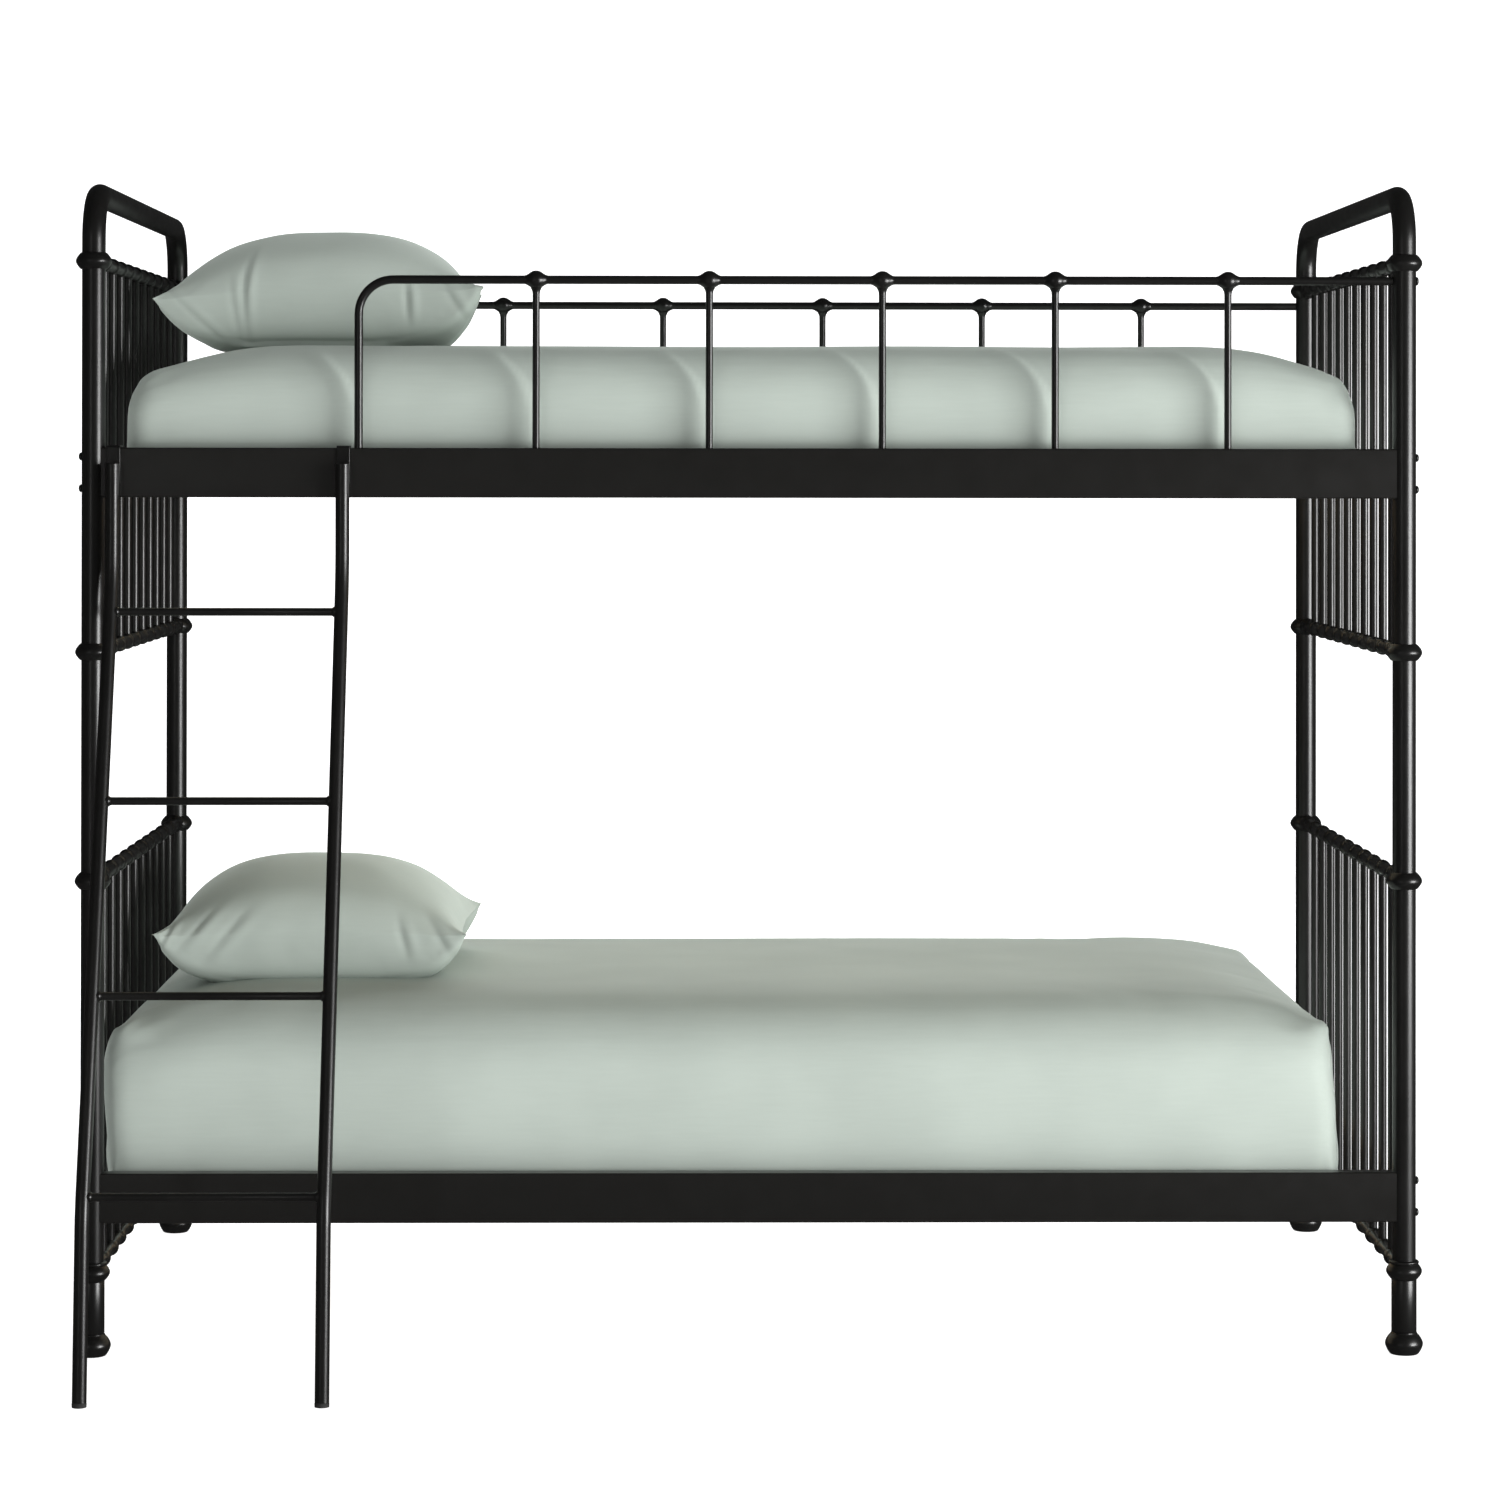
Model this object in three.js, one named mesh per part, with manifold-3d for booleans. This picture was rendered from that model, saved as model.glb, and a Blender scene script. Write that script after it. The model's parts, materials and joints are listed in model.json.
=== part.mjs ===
// A twin-over-twin iron bunk bed with a hook-on ladder, in millimetres with +Z up.
// X runs along the bed with the pillows at -X, and the front, where the ladder hangs, faces -Y.
// The frame comes apart as it would on a bench: two bent end hoops stand on four leg tubes,
// cast spindle panels slide over them, and bolts through the posts draw the side rails tight.

import * as THREE from "three";
import { mergeVertices } from "three/addons/utils/BufferGeometryUtils.js";
import Module from "manifold-3d";

const wasm = await Module();
wasm.setup();

// ---------------------------------------------------------------- driving dimensions

const GAP = 0.3; // left between two pieces that touch
const LIFT_CLEARANCE = 1.5; // beside a piece that lifts out

const POST_PITCH_X = 1980; // between post centres along the bed
const POST_PITCH_Y = 1020; // between post centres across the bed
const POST_DIAMETER = 35.5;
const TUBE_WALL = 2;
const LEG_SWELL = 1.25; // how far the leg tube is swaged out below the lowest collar

const FOOT_HEIGHT = 33;
const FOOT_SWELL = 9.5; // how far the foot's bulb stands out of the leg
const FOOT_BASE_SWELL = 1; // how far its flat base does
const FOOT_SPIGOT_LENGTH = 45;
const FOOT_BULB = [[0.93, 0.25], [1, 0.5], [0.88, 0.82]]; // shares of its radius and of its height

const LOWEST_COLLAR_Z = 126; // centre height of the lowest end rail
const PANEL_HEIGHT = 588; // between the two end rails of a spindle panel
const PANEL_GAP = 346; // open height between the lower and the upper panel
const HOOP_RISE = 103; // from the top end rail to the hoop's top centre line
const HOOP_BEND_RADIUS = 70;

const COLLAR_SWELL = 9.25; // how far a collar stands out of its post
const COLLAR_HEIGHT = 25;
const COLLAR_RIM = 2; // its wall at the bottom edge
const COLLAR_LIP = 2.5; // its wall at the top edge
const COLLAR_BELLY = [[1, -0.2], [0.94, 0.5]]; // shares of its radius and of its half height
const END_RAIL_DIAMETER = 19;
const KNOT_DIAMETER = 26; // the cast knot where a spindle meets an end rail
const KNOT_LENGTH = 26;
const SPINDLE_DIAMETER = 12;
const SPINDLE_COUNT = 10;
const SPINDLE_END_GAP = 110; // from a post's centre to the first spindle

const PIN_LENGTH = 160;
const PIN_FLANGE = 1.2;

const RAIL_HEIGHT = 75;
const RAIL_DEPTH = 25;
const RAIL_WALL = 3;
const LOWER_RAIL_RISE = 149; // from the lower panel's bottom end rail to the top of the side rail
const UPPER_RAIL_RISE = 307; // the same above the upper panel's bottom end rail
const RAIL_BLOCK_LENGTH = 12; // threaded block welded into each end of a side rail
const LEDGE_DROP = 40; // from a rail's top edge down to the slat ledge
const LEDGE_REACH = 20; // how far the ledge stands out of the channel
const LEDGE_END_GAP = 32; // from a post's centre to the end of the ledge

const RAIL_BOLT_DIAMETER = 8;
const RAIL_BOLT_INSET = 13.5; // from a rail's edge to the bolt's centre line
const RAIL_BOLT_HEAD_DIAMETER = 12;
const RAIL_BOLT_HEAD_HEIGHT = 4;
const RAIL_BOLT_REACH = 5; // how far a rail bolt comes through its threaded block
const BOLT_DOME = [0.36, 0.8]; // a head's shoulder, as shares of its diameter and height

const SLAT_THICKNESS = 15;
const SLAT_WIDTH = 70;
const SLAT_COUNT = 10;
const SLAT_TAPE_WIDTH = 30;
const SLAT_TAPE_THICKNESS = 2;
const SLAT_TAPE_INSET = 90; // from a slat's end to the tape's centre line
const SLAT_END_GAP = 120; // from a post's centre to the first slat's edge

const GUARD_DROP = 27; // from the top end rail down to both guard rails
const GUARD_DIAMETER = 13;
const GUARD_BEND_RADIUS = 52;
const GUARD_LADDER_GAP = 22; // from the ladder's right tube to the guard's upright end
const GUARD_KNOT_DIAMETER = 28;
const GUARD_KNOT_BAND = 2.8; // half width of the band round a knot's middle
const GUARD_FLARE_LENGTH = 17; // half length of the cone on each side of a knot
const GUARD_FLARE_LIP = 0.4; // how far a cone's thin end stands out of the rod
const BALUSTER_DIAMETER = 11;
const PEG_DEPTH = 14; // how far balusters reach down through a rail's top flange
const FRONT_BALUSTERS = 5;
const FRONT_BAY_EXTRA = 6; // extra width of the two end bays at the front
const BACK_BALUSTERS = 6;
const BACK_BAY_EXTRA = 11; // extra width of the two end bays at the back
const GUARD_BOLT_DIAMETER = 6;
const GUARD_BOLT_HEAD_DIAMETER = 13;
const GUARD_BOLT_HEAD_HEIGHT = 3.6;
const GUARD_BOLT_REACH = 18; // how far a guard bolt screws into the rod

const LADDER_POST_GAP = 32; // from the left post's centre to the left side tube's
const LADDER_PITCH = 345; // between the centre lines of its side tubes
const LADDER_TUBE_DIAMETER = 21;
const LADDER_WALL = 2;
const LADDER_TOP_DROP = 24; // from the upper rail's top edge to the tube ends
const LADDER_KNEE_DROP = 188; // from the upper rail's top edge to the bend where it leans out
const LADDER_LEAN = 0.328; // run per rise of the long stretch
const LADDER_ANKLE_Z = 274; // lower bend, below which it stands steeper
const LADDER_FOOT_LEAN = 0.09;
const LADDER_BEND_RADIUS = 250;
const RUNG_DIAMETER = 12;
const RUNG_COUNT = 4;
const TOP_RUNG_DROP = 58; // from the upper bend to the top rung
const BOTTOM_RUNG_RISE = 19; // from the lower bend to the bottom rung
const LADDER_PLUG_HEIGHT = 6; // rubber below the end of each side tube
const LADDER_PLUG_SPIGOT = 30;

const HOOK_WIDTH = 20;
const HOOK_THICKNESS = 3;
const HOOK_BEHIND = 21; // how far the hook reaches down behind the rail's flange
const HOOK_OVERLAP = 30; // how far it runs down behind the ladder tube

const MATTRESS_END_ROOM = 110; // less than the pitch of the posts, along the bed
const MATTRESS_SIDE_ROOM = 55; // less than the pitch of the posts, across the bed
const LOWER_MATTRESS_THICKNESS = 261;
const UPPER_MATTRESS_THICKNESS = 180;
const MATTRESS_CORNER_RADIUS = 70;
const MATTRESS_EDGE_RADIUS = 40;
const LOWER_MATTRESS_INSET = 18; // from the left posts' centres to the mattress
const UPPER_MATTRESS_INSET = 44;

const PILLOW_LENGTH = 500; // along X
const PILLOW_WIDTH = 480;
const PILLOW_THICKNESS = 192;
const PILLOW_CORNER_RADIUS = 90;
const PILLOW_EDGE_RADIUS = 80;
const LOWER_PILLOW_INSET = 34; // from the mattress's left end to the pillow
const UPPER_PILLOW_INSET = 25;

const POST_SIDES = 12;
const COLLAR_SIDES = 12;
const ROD_SIDES = 8;
const SPINDLE_SIDES = 6;
const BOLT_SIDES = 8;
const BEND_STEPS = 4;
const CUSHION_STEPS = 3;

// ---------------------------------------------------------------- values that follow from them

const postX = POST_PITCH_X / 2;
const postY = POST_PITCH_Y / 2;
const postRadius = POST_DIAMETER / 2;
const boreRadius = postRadius - TUBE_WALL;
const legRadius = postRadius + LEG_SWELL;
const collarRadius = postRadius + COLLAR_SWELL;
const lowerPanelTopZ = LOWEST_COLLAR_Z + PANEL_HEIGHT;
const upperPanelBottomZ = lowerPanelTopZ + PANEL_GAP;
const upperPanelTopZ = upperPanelBottomZ + PANEL_HEIGHT;
const hoopTopZ = upperPanelTopZ + HOOP_RISE;
const seamZ = lowerPanelTopZ; // the hoops meet the leg tubes inside the collar here
const seamHalf = PIN_FLANGE / 2 + GAP;
const swageZ = LOWEST_COLLAR_Z - COLLAR_HEIGHT / 2 - GAP;
const legBottomZ = FOOT_HEIGHT + GAP;
const lowerRailTopZ = LOWEST_COLLAR_Z + LOWER_RAIL_RISE;
const upperRailTopZ = upperPanelBottomZ + UPPER_RAIL_RISE;
const guardZ = upperPanelTopZ - GUARD_DROP;
const railCentreDrop = RAIL_HEIGHT / 2;
const railBoltHalfPitch = RAIL_HEIGHT / 2 - RAIL_BOLT_INSET;
const slatTopDrop = LEDGE_DROP - GAP - SLAT_THICKNESS;
const slatLength = POST_PITCH_Y - RAIL_DEPTH - 2 * LIFT_CLEARANCE;
const railFaceY = postY + RAIL_DEPTH / 2;
const railBackY = postY - RAIL_DEPTH / 2;
const ladderRadius = LADDER_TUBE_DIAMETER / 2;
const ladderX = -postX + LADDER_POST_GAP + LADDER_PITCH / 2;
const guardStartX = ladderX + LADDER_PITCH / 2 + GUARD_LADDER_GAP;
const ladderTopZ = upperRailTopZ - LADDER_TOP_DROP;
const kneeZ = upperRailTopZ - LADDER_KNEE_DROP;
const topRungZ = kneeZ - TOP_RUNG_DROP;
const rungPitch = (topRungZ - LADDER_ANKLE_Z - BOTTOM_RUNG_RISE) / (RUNG_COUNT - 1);
const mattressLength = POST_PITCH_X - MATTRESS_END_ROOM;
const mattressWidth = POST_PITCH_Y - MATTRESS_SIDE_ROOM;
const ladderTopY = -(railFaceY + HOOK_THICKNESS + 2 * GAP + ladderRadius);

const ENDS = [["left", -1], ["right", 1]];
const SIDES = [["front", -1], ["back", 1]];
const LEVELS = [["lower", lowerRailTopZ], ["upper", upperRailTopZ]];

// ---------------------------------------------------------------- finishes

const FINISHES = {
  iron: { color: 0x1b1a19, roughness: 0.35, metalness: 0.6 },
  bolt: { color: 0x2a2928, roughness: 0.4, metalness: 0.8 },
  pine: { color: 0xc9a878, roughness: 0.7, metalness: 0 },
  rubber: { color: 0x141414, roughness: 0.85, metalness: 0 },
  sheet: { color: 0xacbab0, roughness: 0.95, metalness: 0 },
};

// ---------------------------------------------------------------- geometry helpers

function solidFrom(geometry) {
  const bare = geometry.clone();
  for (const name of Object.keys(bare.attributes)) {
    if (name !== "position") bare.deleteAttribute(name);
  }
  const merged = mergeVertices(bare, 1e-3);
  return new wasm.Manifold(new wasm.Mesh({
    numProp: 3,
    vertProperties: merged.attributes.position.array,
    triVerts: new Uint32Array(merged.index.array),
  }));
}

function geometryFrom(solid) {
  const mesh = solid.getMesh();
  const geometry = new THREE.BufferGeometry();
  geometry.setAttribute("position", new THREE.BufferAttribute(mesh.vertProperties, 3));
  geometry.setIndex(new THREE.BufferAttribute(mesh.triVerts, 1));
  geometry.computeVertexNormals();
  return geometry;
}

function join(geometries) {
  return geometries.map(solidFrom).reduce((whole, solid) => whole.add(solid));
}

function cut(solid, geometries) {
  return geometries.map(solidFrom).reduce((rest, tool) => rest.subtract(tool), solid);
}

// A body turned about Z from [radius, height] pairs, listed anticlockwise seen with the axis on the left.
function turned(profile, sides) {
  const points = profile.map(([radius, height]) => new THREE.Vector2(radius, height));
  return new THREE.LatheGeometry(points, sides).rotateX(Math.PI / 2);
}

function rodAlongZ(radius, fromZ, toZ, sides) {
  const rod = new THREE.CylinderGeometry(radius, radius, toZ - fromZ, sides);
  return rod.rotateX(Math.PI / 2).translate(0, 0, (fromZ + toZ) / 2);
}

function rodAlongX(radius, fromX, toX, sides) {
  const rod = new THREE.CylinderGeometry(radius, radius, toX - fromX, sides);
  return rod.rotateZ(Math.PI / 2).translate((fromX + toX) / 2, 0, 0);
}

// A flat outline in (Y, Z), drawn out along X about the middle.
function drawnAlongX(outline, length) {
  const shape = new THREE.Shape(outline.map(([y, z]) => new THREE.Vector2(y, z)));
  const drawn = new THREE.ExtrudeGeometry(shape, { depth: length, bevelEnabled: false });
  const turn = new THREE.Matrix4().makeBasis(
    new THREE.Vector3(0, 1, 0),
    new THREE.Vector3(0, 0, 1),
    new THREE.Vector3(1, 0, 0),
  );
  return drawn.translate(0, 0, -length / 2).applyMatrix4(turn);
}

// A path of straight stretches joined by round bends, with stations only where the path turns.
class BentPath extends THREE.Curve {
  constructor(corners, bendRadius) {
    super();
    this.stations = [];
    this.tangents = [];
    const last = corners.length - 1;
    const direction = (i) => corners[i + 1].clone().sub(corners[i]).normalize();
    this.addStation(corners[0], direction(0));
    for (let i = 1; i < last; i += 1) {
      this.addBend(corners[i], direction(i - 1), direction(i), bendRadius);
    }
    this.addStation(corners[last], direction(last - 1));
  }

  addStation(point, tangent) {
    this.stations.push(point.clone());
    this.tangents.push(tangent.clone());
  }

  addBend(corner, before, after, radius) {
    const angle = before.angleTo(after);
    const start = corner.clone().addScaledVector(before, -radius * Math.tan(angle / 2));
    const inward = after.clone().addScaledVector(before, -before.dot(after)).normalize();
    for (let step = 0; step <= BEND_STEPS; step += 1) {
      const turn = (angle * step) / BEND_STEPS;
      const point = start.clone()
        .addScaledVector(before, radius * Math.sin(turn))
        .addScaledVector(inward, radius * (1 - Math.cos(turn)));
      const tangent = before.clone().multiplyScalar(Math.cos(turn));
      this.addStation(point, tangent.addScaledVector(inward, Math.sin(turn)));
    }
  }

  getUtoTmapping(u) {
    return u;
  }

  getPoint(t) {
    const place = t * (this.stations.length - 1);
    const i = Math.min(Math.floor(place), this.stations.length - 2);
    return this.stations[i].clone().lerp(this.stations[i + 1], place - i);
  }

  getTangent(t) {
    return this.tangents[Math.round(t * (this.tangents.length - 1))].clone();
  }
}

function roundSection(radius, holeRadius, sides) {
  const ring = (r) => Array.from({ length: sides }, (_, i) => {
    const angle = (2 * Math.PI * i) / sides;
    return new THREE.Vector2(r * Math.cos(angle), r * Math.sin(angle));
  });
  const section = new THREE.Shape(ring(radius));
  if (holeRadius > 0) section.holes.push(new THREE.Path(ring(holeRadius)));
  return section;
}

// A bent rod, or a bent tube when a hole radius is given.
function bentTube(corners, bendRadius, radius, holeRadius, sides) {
  const path = new BentPath(corners, bendRadius);
  return new THREE.ExtrudeGeometry(roundSection(radius, holeRadius, sides), {
    steps: path.stations.length - 1,
    extrudePath: path,
    bevelEnabled: false,
  });
}

// A soft block with round corners in plan and a round edge all over.
function softBlock(length, width, thickness, cornerRadius, edgeRadius, steps) {
  const halfX = length / 2 - edgeRadius;
  const halfY = width / 2 - edgeRadius;
  const corner = cornerRadius - edgeRadius;
  const outline = new THREE.Shape();
  outline.absarc(halfX - corner, halfY - corner, corner, 0, Math.PI / 2);
  outline.absarc(corner - halfX, halfY - corner, corner, Math.PI / 2, Math.PI);
  outline.absarc(corner - halfX, corner - halfY, corner, Math.PI, 1.5 * Math.PI);
  outline.absarc(halfX - corner, corner - halfY, corner, 1.5 * Math.PI, 2 * Math.PI);
  return new THREE.ExtrudeGeometry(outline, {
    depth: thickness - 2 * edgeRadius,
    bevelThickness: edgeRadius,
    bevelSize: edgeRadius,
    bevelSegments: steps,
    curveSegments: steps,
  }).translate(0, 0, edgeRadius);
}

const bunkBed = new THREE.Group();

function addPiece(parent, name, finish, geometry, x = 0, y = 0, z = 0) {
  const piece = new THREE.Mesh(geometry, new THREE.MeshStandardMaterial(FINISHES[finish]));
  piece.name = name;
  piece.position.set(x, y, z);
  parent.add(piece);
  return piece;
}

// ---------------------------------------------------------------- legs, hoops and panels

function boltHoleTools(x, y, heights, diameter) {
  const reach = 2 * legRadius;
  return heights.map((z) =>
    rodAlongX(diameter / 2 + GAP, x - reach, x + reach, BOLT_SIDES).translate(0, y, z));
}

function railBoltHeights(railTop) {
  const middle = railTop - railCentreDrop;
  return [middle + railBoltHalfPitch, middle - railBoltHalfPitch];
}

function legTube() {
  const bore = boreRadius;
  const tube = turned([
    [bore, legBottomZ],
    [legRadius, legBottomZ],
    [legRadius, swageZ],
    [postRadius, swageZ],
    [postRadius, seamZ - seamHalf],
    [bore, seamZ - seamHalf],
    [bore, legBottomZ],
  ], POST_SIDES);
  return cut(solidFrom(tube), boltHoleTools(0, 0, railBoltHeights(lowerRailTopZ), RAIL_BOLT_DIAMETER));
}

function castFoot() {
  const widest = legRadius + FOOT_SWELL;
  const spigot = boreRadius - GAP;
  return turned([
    [0, 0],
    [legRadius + FOOT_BASE_SWELL, 0],
    ...FOOT_BULB.map(([across, up]) => [widest * across, FOOT_HEIGHT * up]),
    [legRadius, FOOT_HEIGHT],
    [spigot, FOOT_HEIGHT],
    [spigot, FOOT_HEIGHT + FOOT_SPIGOT_LENGTH],
    [0, FOOT_HEIGHT + FOOT_SPIGOT_LENGTH],
  ], COLLAR_SIDES);
}

function couplingPin() {
  const radius = boreRadius - GAP;
  const flange = postRadius - GAP;
  return turned([
    [0, -PIN_LENGTH / 2],
    [radius, -PIN_LENGTH / 2],
    [radius, -PIN_FLANGE / 2],
    [flange, -PIN_FLANGE / 2],
    [flange, PIN_FLANGE / 2],
    [radius, PIN_FLANGE / 2],
    [radius, PIN_LENGTH / 2],
    [0, PIN_LENGTH / 2],
  ], POST_SIDES);
}

function endHoop(end) {
  const corners = [
    [-postY, seamZ + seamHalf],
    [-postY, hoopTopZ],
    [postY, hoopTopZ],
    [postY, seamZ + seamHalf],
  ].map(([y, z]) => new THREE.Vector3(0, y, z));
  const tube = bentTube(corners, HOOP_BEND_RADIUS, postRadius, boreRadius, POST_SIDES);
  const railHoles = SIDES.flatMap(([, side]) =>
    boltHoleTools(0, side * postY, railBoltHeights(upperRailTopZ), RAIL_BOLT_DIAMETER));
  const guardSides = end === "left" ? [1] : [-1, 1];
  const guardHoles = guardSides.flatMap((side) =>
    boltHoleTools(0, side * postY, [guardZ], GUARD_BOLT_DIAMETER));
  return cut(solidFrom(tube), [...railHoles, ...guardHoles]);
}

function collar() {
  const bore = postRadius + GAP;
  const half = COLLAR_HEIGHT / 2;
  return turned([
    [bore, -half],
    [bore + COLLAR_RIM, -half],
    ...COLLAR_BELLY.map(([across, up]) => [collarRadius * across, half * up]),
    [bore + COLLAR_LIP, half],
    [bore, half],
    [bore, -half],
  ], COLLAR_SIDES);
}

function spindleYs() {
  const pitch = (POST_PITCH_Y - 2 * SPINDLE_END_GAP) / (SPINDLE_COUNT - 1);
  return Array.from({ length: SPINDLE_COUNT }, (_, i) => -postY + SPINDLE_END_GAP + i * pitch);
}

// A bar along Y that swells into a knot round every spindle.
function endRail() {
  const bar = END_RAIL_DIAMETER / 2;
  const railEnd = postY - (postRadius + collarRadius) / 2;
  const knots = spindleYs().flatMap((y) => [
    [bar, y - KNOT_LENGTH / 2],
    [KNOT_DIAMETER / 2, y],
    [bar, y + KNOT_LENGTH / 2],
  ]);
  const profile = [[0, -railEnd], [bar, -railEnd], ...knots, [bar, railEnd], [0, railEnd]];
  return turned(profile, SPINDLE_SIDES).rotateX(-Math.PI / 2);
}

// Two end rails with a collar at each end, cast round the spindles: one rigid panel.
function spindlePanel() {
  const pieces = [];
  for (const z of [0, PANEL_HEIGHT]) {
    pieces.push(endRail().translate(0, 0, z));
    for (const side of [-1, 1]) {
      pieces.push(collar().translate(0, side * postY, z));
    }
  }
  for (const y of spindleYs()) {
    pieces.push(rodAlongZ(SPINDLE_DIAMETER / 2, 0, PANEL_HEIGHT, SPINDLE_SIDES).translate(0, y, 0));
  }
  return join(pieces);
}

function addEnds() {
  for (const [end, endSign] of ENDS) {
    const x = endSign * postX;
    addPiece(bunkBed, `${end}_end_hoop`, "iron", geometryFrom(endHoop(end)), x);
    const panel = geometryFrom(spindlePanel());
    addPiece(bunkBed, `lower_${end}_spindle_panel`, "iron", panel, x, 0, LOWEST_COLLAR_Z);
    addPiece(bunkBed, `upper_${end}_spindle_panel`, "iron", panel, x, 0, upperPanelBottomZ);
    for (const [side, sideSign] of SIDES) {
      const y = sideSign * postY;
      addPiece(bunkBed, `${end}_${side}_leg_tube`, "iron", geometryFrom(legTube()), x, y);
      addPiece(bunkBed, `${end}_${side}_cast_foot`, "iron", castFoot(), x, y);
      addPiece(bunkBed, `${end}_${side}_coupling_pin`, "bolt", couplingPin(), x, y, seamZ);
    }
  }
}

// ---------------------------------------------------------------- side rails, bolts and slats

function frontBalusterXs() {
  const span = postX - guardStartX - 2 * FRONT_BAY_EXTRA;
  const pitch = span / (FRONT_BALUSTERS + 1);
  return Array.from({ length: FRONT_BALUSTERS }, (_, i) =>
    guardStartX + FRONT_BAY_EXTRA + (i + 1) * pitch);
}

function backBalusterXs() {
  const pitch = (POST_PITCH_X - 2 * BACK_BAY_EXTRA) / (BACK_BALUSTERS + 1);
  return Array.from({ length: BACK_BALUSTERS }, (_, i) =>
    -postX + BACK_BAY_EXTRA + (i + 1) * pitch);
}

// A channel open towards the mattress, with a slat ledge and a threaded block in each end.
// Its middle is at the post centre line, and inward is +1 where the mattress lies at +Y.
function sideRail(inward, pegs) {
  const half = RAIL_HEIGHT / 2;
  const web = -RAIL_DEPTH / 2;
  const open = RAIL_DEPTH / 2;
  const channel = drawnAlongX([
    [web, -half],
    [open, -half],
    [open, -half + RAIL_WALL],
    [web + RAIL_WALL, -half + RAIL_WALL],
    [web + RAIL_WALL, half - RAIL_WALL],
    [open, half - RAIL_WALL],
    [open, half],
    [web, half],
  ].map(([y, z]) => [inward * y, z]), POST_PITCH_X);
  const ledgeTop = half - LEDGE_DROP;
  const ledge = drawnAlongX([
    [web + RAIL_WALL / 2, ledgeTop - RAIL_WALL],
    [open + LEDGE_REACH, ledgeTop - RAIL_WALL],
    [open + LEDGE_REACH, ledgeTop],
    [web + RAIL_WALL / 2, ledgeTop],
  ].map(([y, z]) => [inward * y, z]), POST_PITCH_X - 2 * LEDGE_END_GAP);
  const blockLength = postRadius + RAIL_BLOCK_LENGTH;
  const blocks = [-1, 1].map((end) =>
    new THREE.BoxGeometry(blockLength, RAIL_DEPTH - RAIL_WALL, RAIL_HEIGHT - RAIL_WALL)
      .translate(end * (postX - blockLength / 2), (inward * RAIL_WALL) / 2, 0));
  const tools = [];
  for (const end of [-1, 1]) {
    const x = end * postX;
    tools.push(rodAlongZ(postRadius + GAP, -RAIL_HEIGHT, RAIL_HEIGHT, POST_SIDES).translate(x, 0, 0));
    for (const z of [-railBoltHalfPitch, railBoltHalfPitch]) {
      const reach = blockLength + RAIL_WALL;
      tools.push(rodAlongX(RAIL_BOLT_DIAMETER / 2 + GAP, x - reach, x + reach, BOLT_SIDES)
        .translate(0, 0, z));
    }
  }
  for (const { x, radius, sides } of pegs) {
    tools.push(rodAlongZ(radius + GAP, half - RAIL_WALL - 1, half + 1, sides).translate(x, 0, 0));
  }
  return cut(join([channel, ledge, ...blocks]), tools);
}

function guardPegs(side) {
  const balusters = side === "front" ? frontBalusterXs() : backBalusterXs();
  const pegs = balusters.map((x) => ({ x, radius: BALUSTER_DIAMETER / 2, sides: SPINDLE_SIDES }));
  const upright = { x: guardStartX, radius: GUARD_DIAMETER / 2, sides: ROD_SIDES };
  return side === "front" ? [upright, ...pegs] : pegs;
}

// A domed bolt whose head stands on +Z and whose shank runs down -Z.
function domedBolt(diameter, length, headDiameter, headHeight) {
  return turned([
    [0, -length],
    [diameter / 2, -length],
    [diameter / 2, 0],
    [headDiameter / 2, 0],
    [headDiameter * BOLT_DOME[0], headHeight * BOLT_DOME[1]],
    [0, headHeight],
  ], BOLT_SIDES);
}

function addEndBolt(name, bolt, endSign, y, z) {
  const x = endSign * (postX + postRadius + GAP);
  const piece = addPiece(bunkBed, name, "bolt", bolt, x, y, z);
  piece.rotation.y = (endSign * Math.PI) / 2;
}

function addSideRails() {
  const boltLength = 2 * (postRadius + GAP) + RAIL_BLOCK_LENGTH + RAIL_BOLT_REACH;
  for (const [level, railTop] of LEVELS) {
    for (const [side, sideSign] of SIDES) {
      const pegs = level === "upper" ? guardPegs(side) : [];
      const rail = geometryFrom(sideRail(-sideSign, pegs));
      const y = sideSign * postY;
      addPiece(bunkBed, `${level}_${side}_side_rail`, "iron", rail, 0, y, railTop - railCentreDrop);
      for (const [end, endSign] of ENDS) {
        const heights = railBoltHeights(railTop);
        for (const [place, z] of [["top", heights[0]], ["bottom", heights[1]]]) {
          const bolt = domedBolt(RAIL_BOLT_DIAMETER, boltLength,
            RAIL_BOLT_HEAD_DIAMETER, RAIL_BOLT_HEAD_HEIGHT);
          addEndBolt(`${level}_${side}_${end}_${place}_rail_bolt`, bolt, endSign, y, z);
        }
      }
    }
  }
}

// Slats held at their spacing by two tapes along their undersides.
function slatBase() {
  const first = -postX + SLAT_END_GAP;
  const last = postX - SLAT_END_GAP - SLAT_WIDTH;
  const pitch = (last - first) / (SLAT_COUNT - 1);
  const pieces = [];
  for (let i = 0; i < SLAT_COUNT; i += 1) {
    pieces.push(new THREE.BoxGeometry(SLAT_WIDTH, slatLength, SLAT_THICKNESS)
      .translate(first + i * pitch + SLAT_WIDTH / 2, 0, SLAT_THICKNESS / 2));
  }
  const tapeLength = last - first + SLAT_WIDTH / 2;
  for (const side of [-1, 1]) {
    pieces.push(new THREE.BoxGeometry(tapeLength, SLAT_TAPE_WIDTH, SLAT_TAPE_THICKNESS)
      .translate(0, side * (slatLength / 2 - SLAT_TAPE_INSET), 0));
  }
  return join(pieces);
}

function addSlats() {
  for (const [level, railTop] of LEVELS) {
    const z = railTop - LEDGE_DROP + GAP;
    addPiece(bunkBed, `${level}_slat_base`, "pine", geometryFrom(slatBase()), 0, 0, z);
  }
}

// ---------------------------------------------------------------- guard rails

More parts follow.
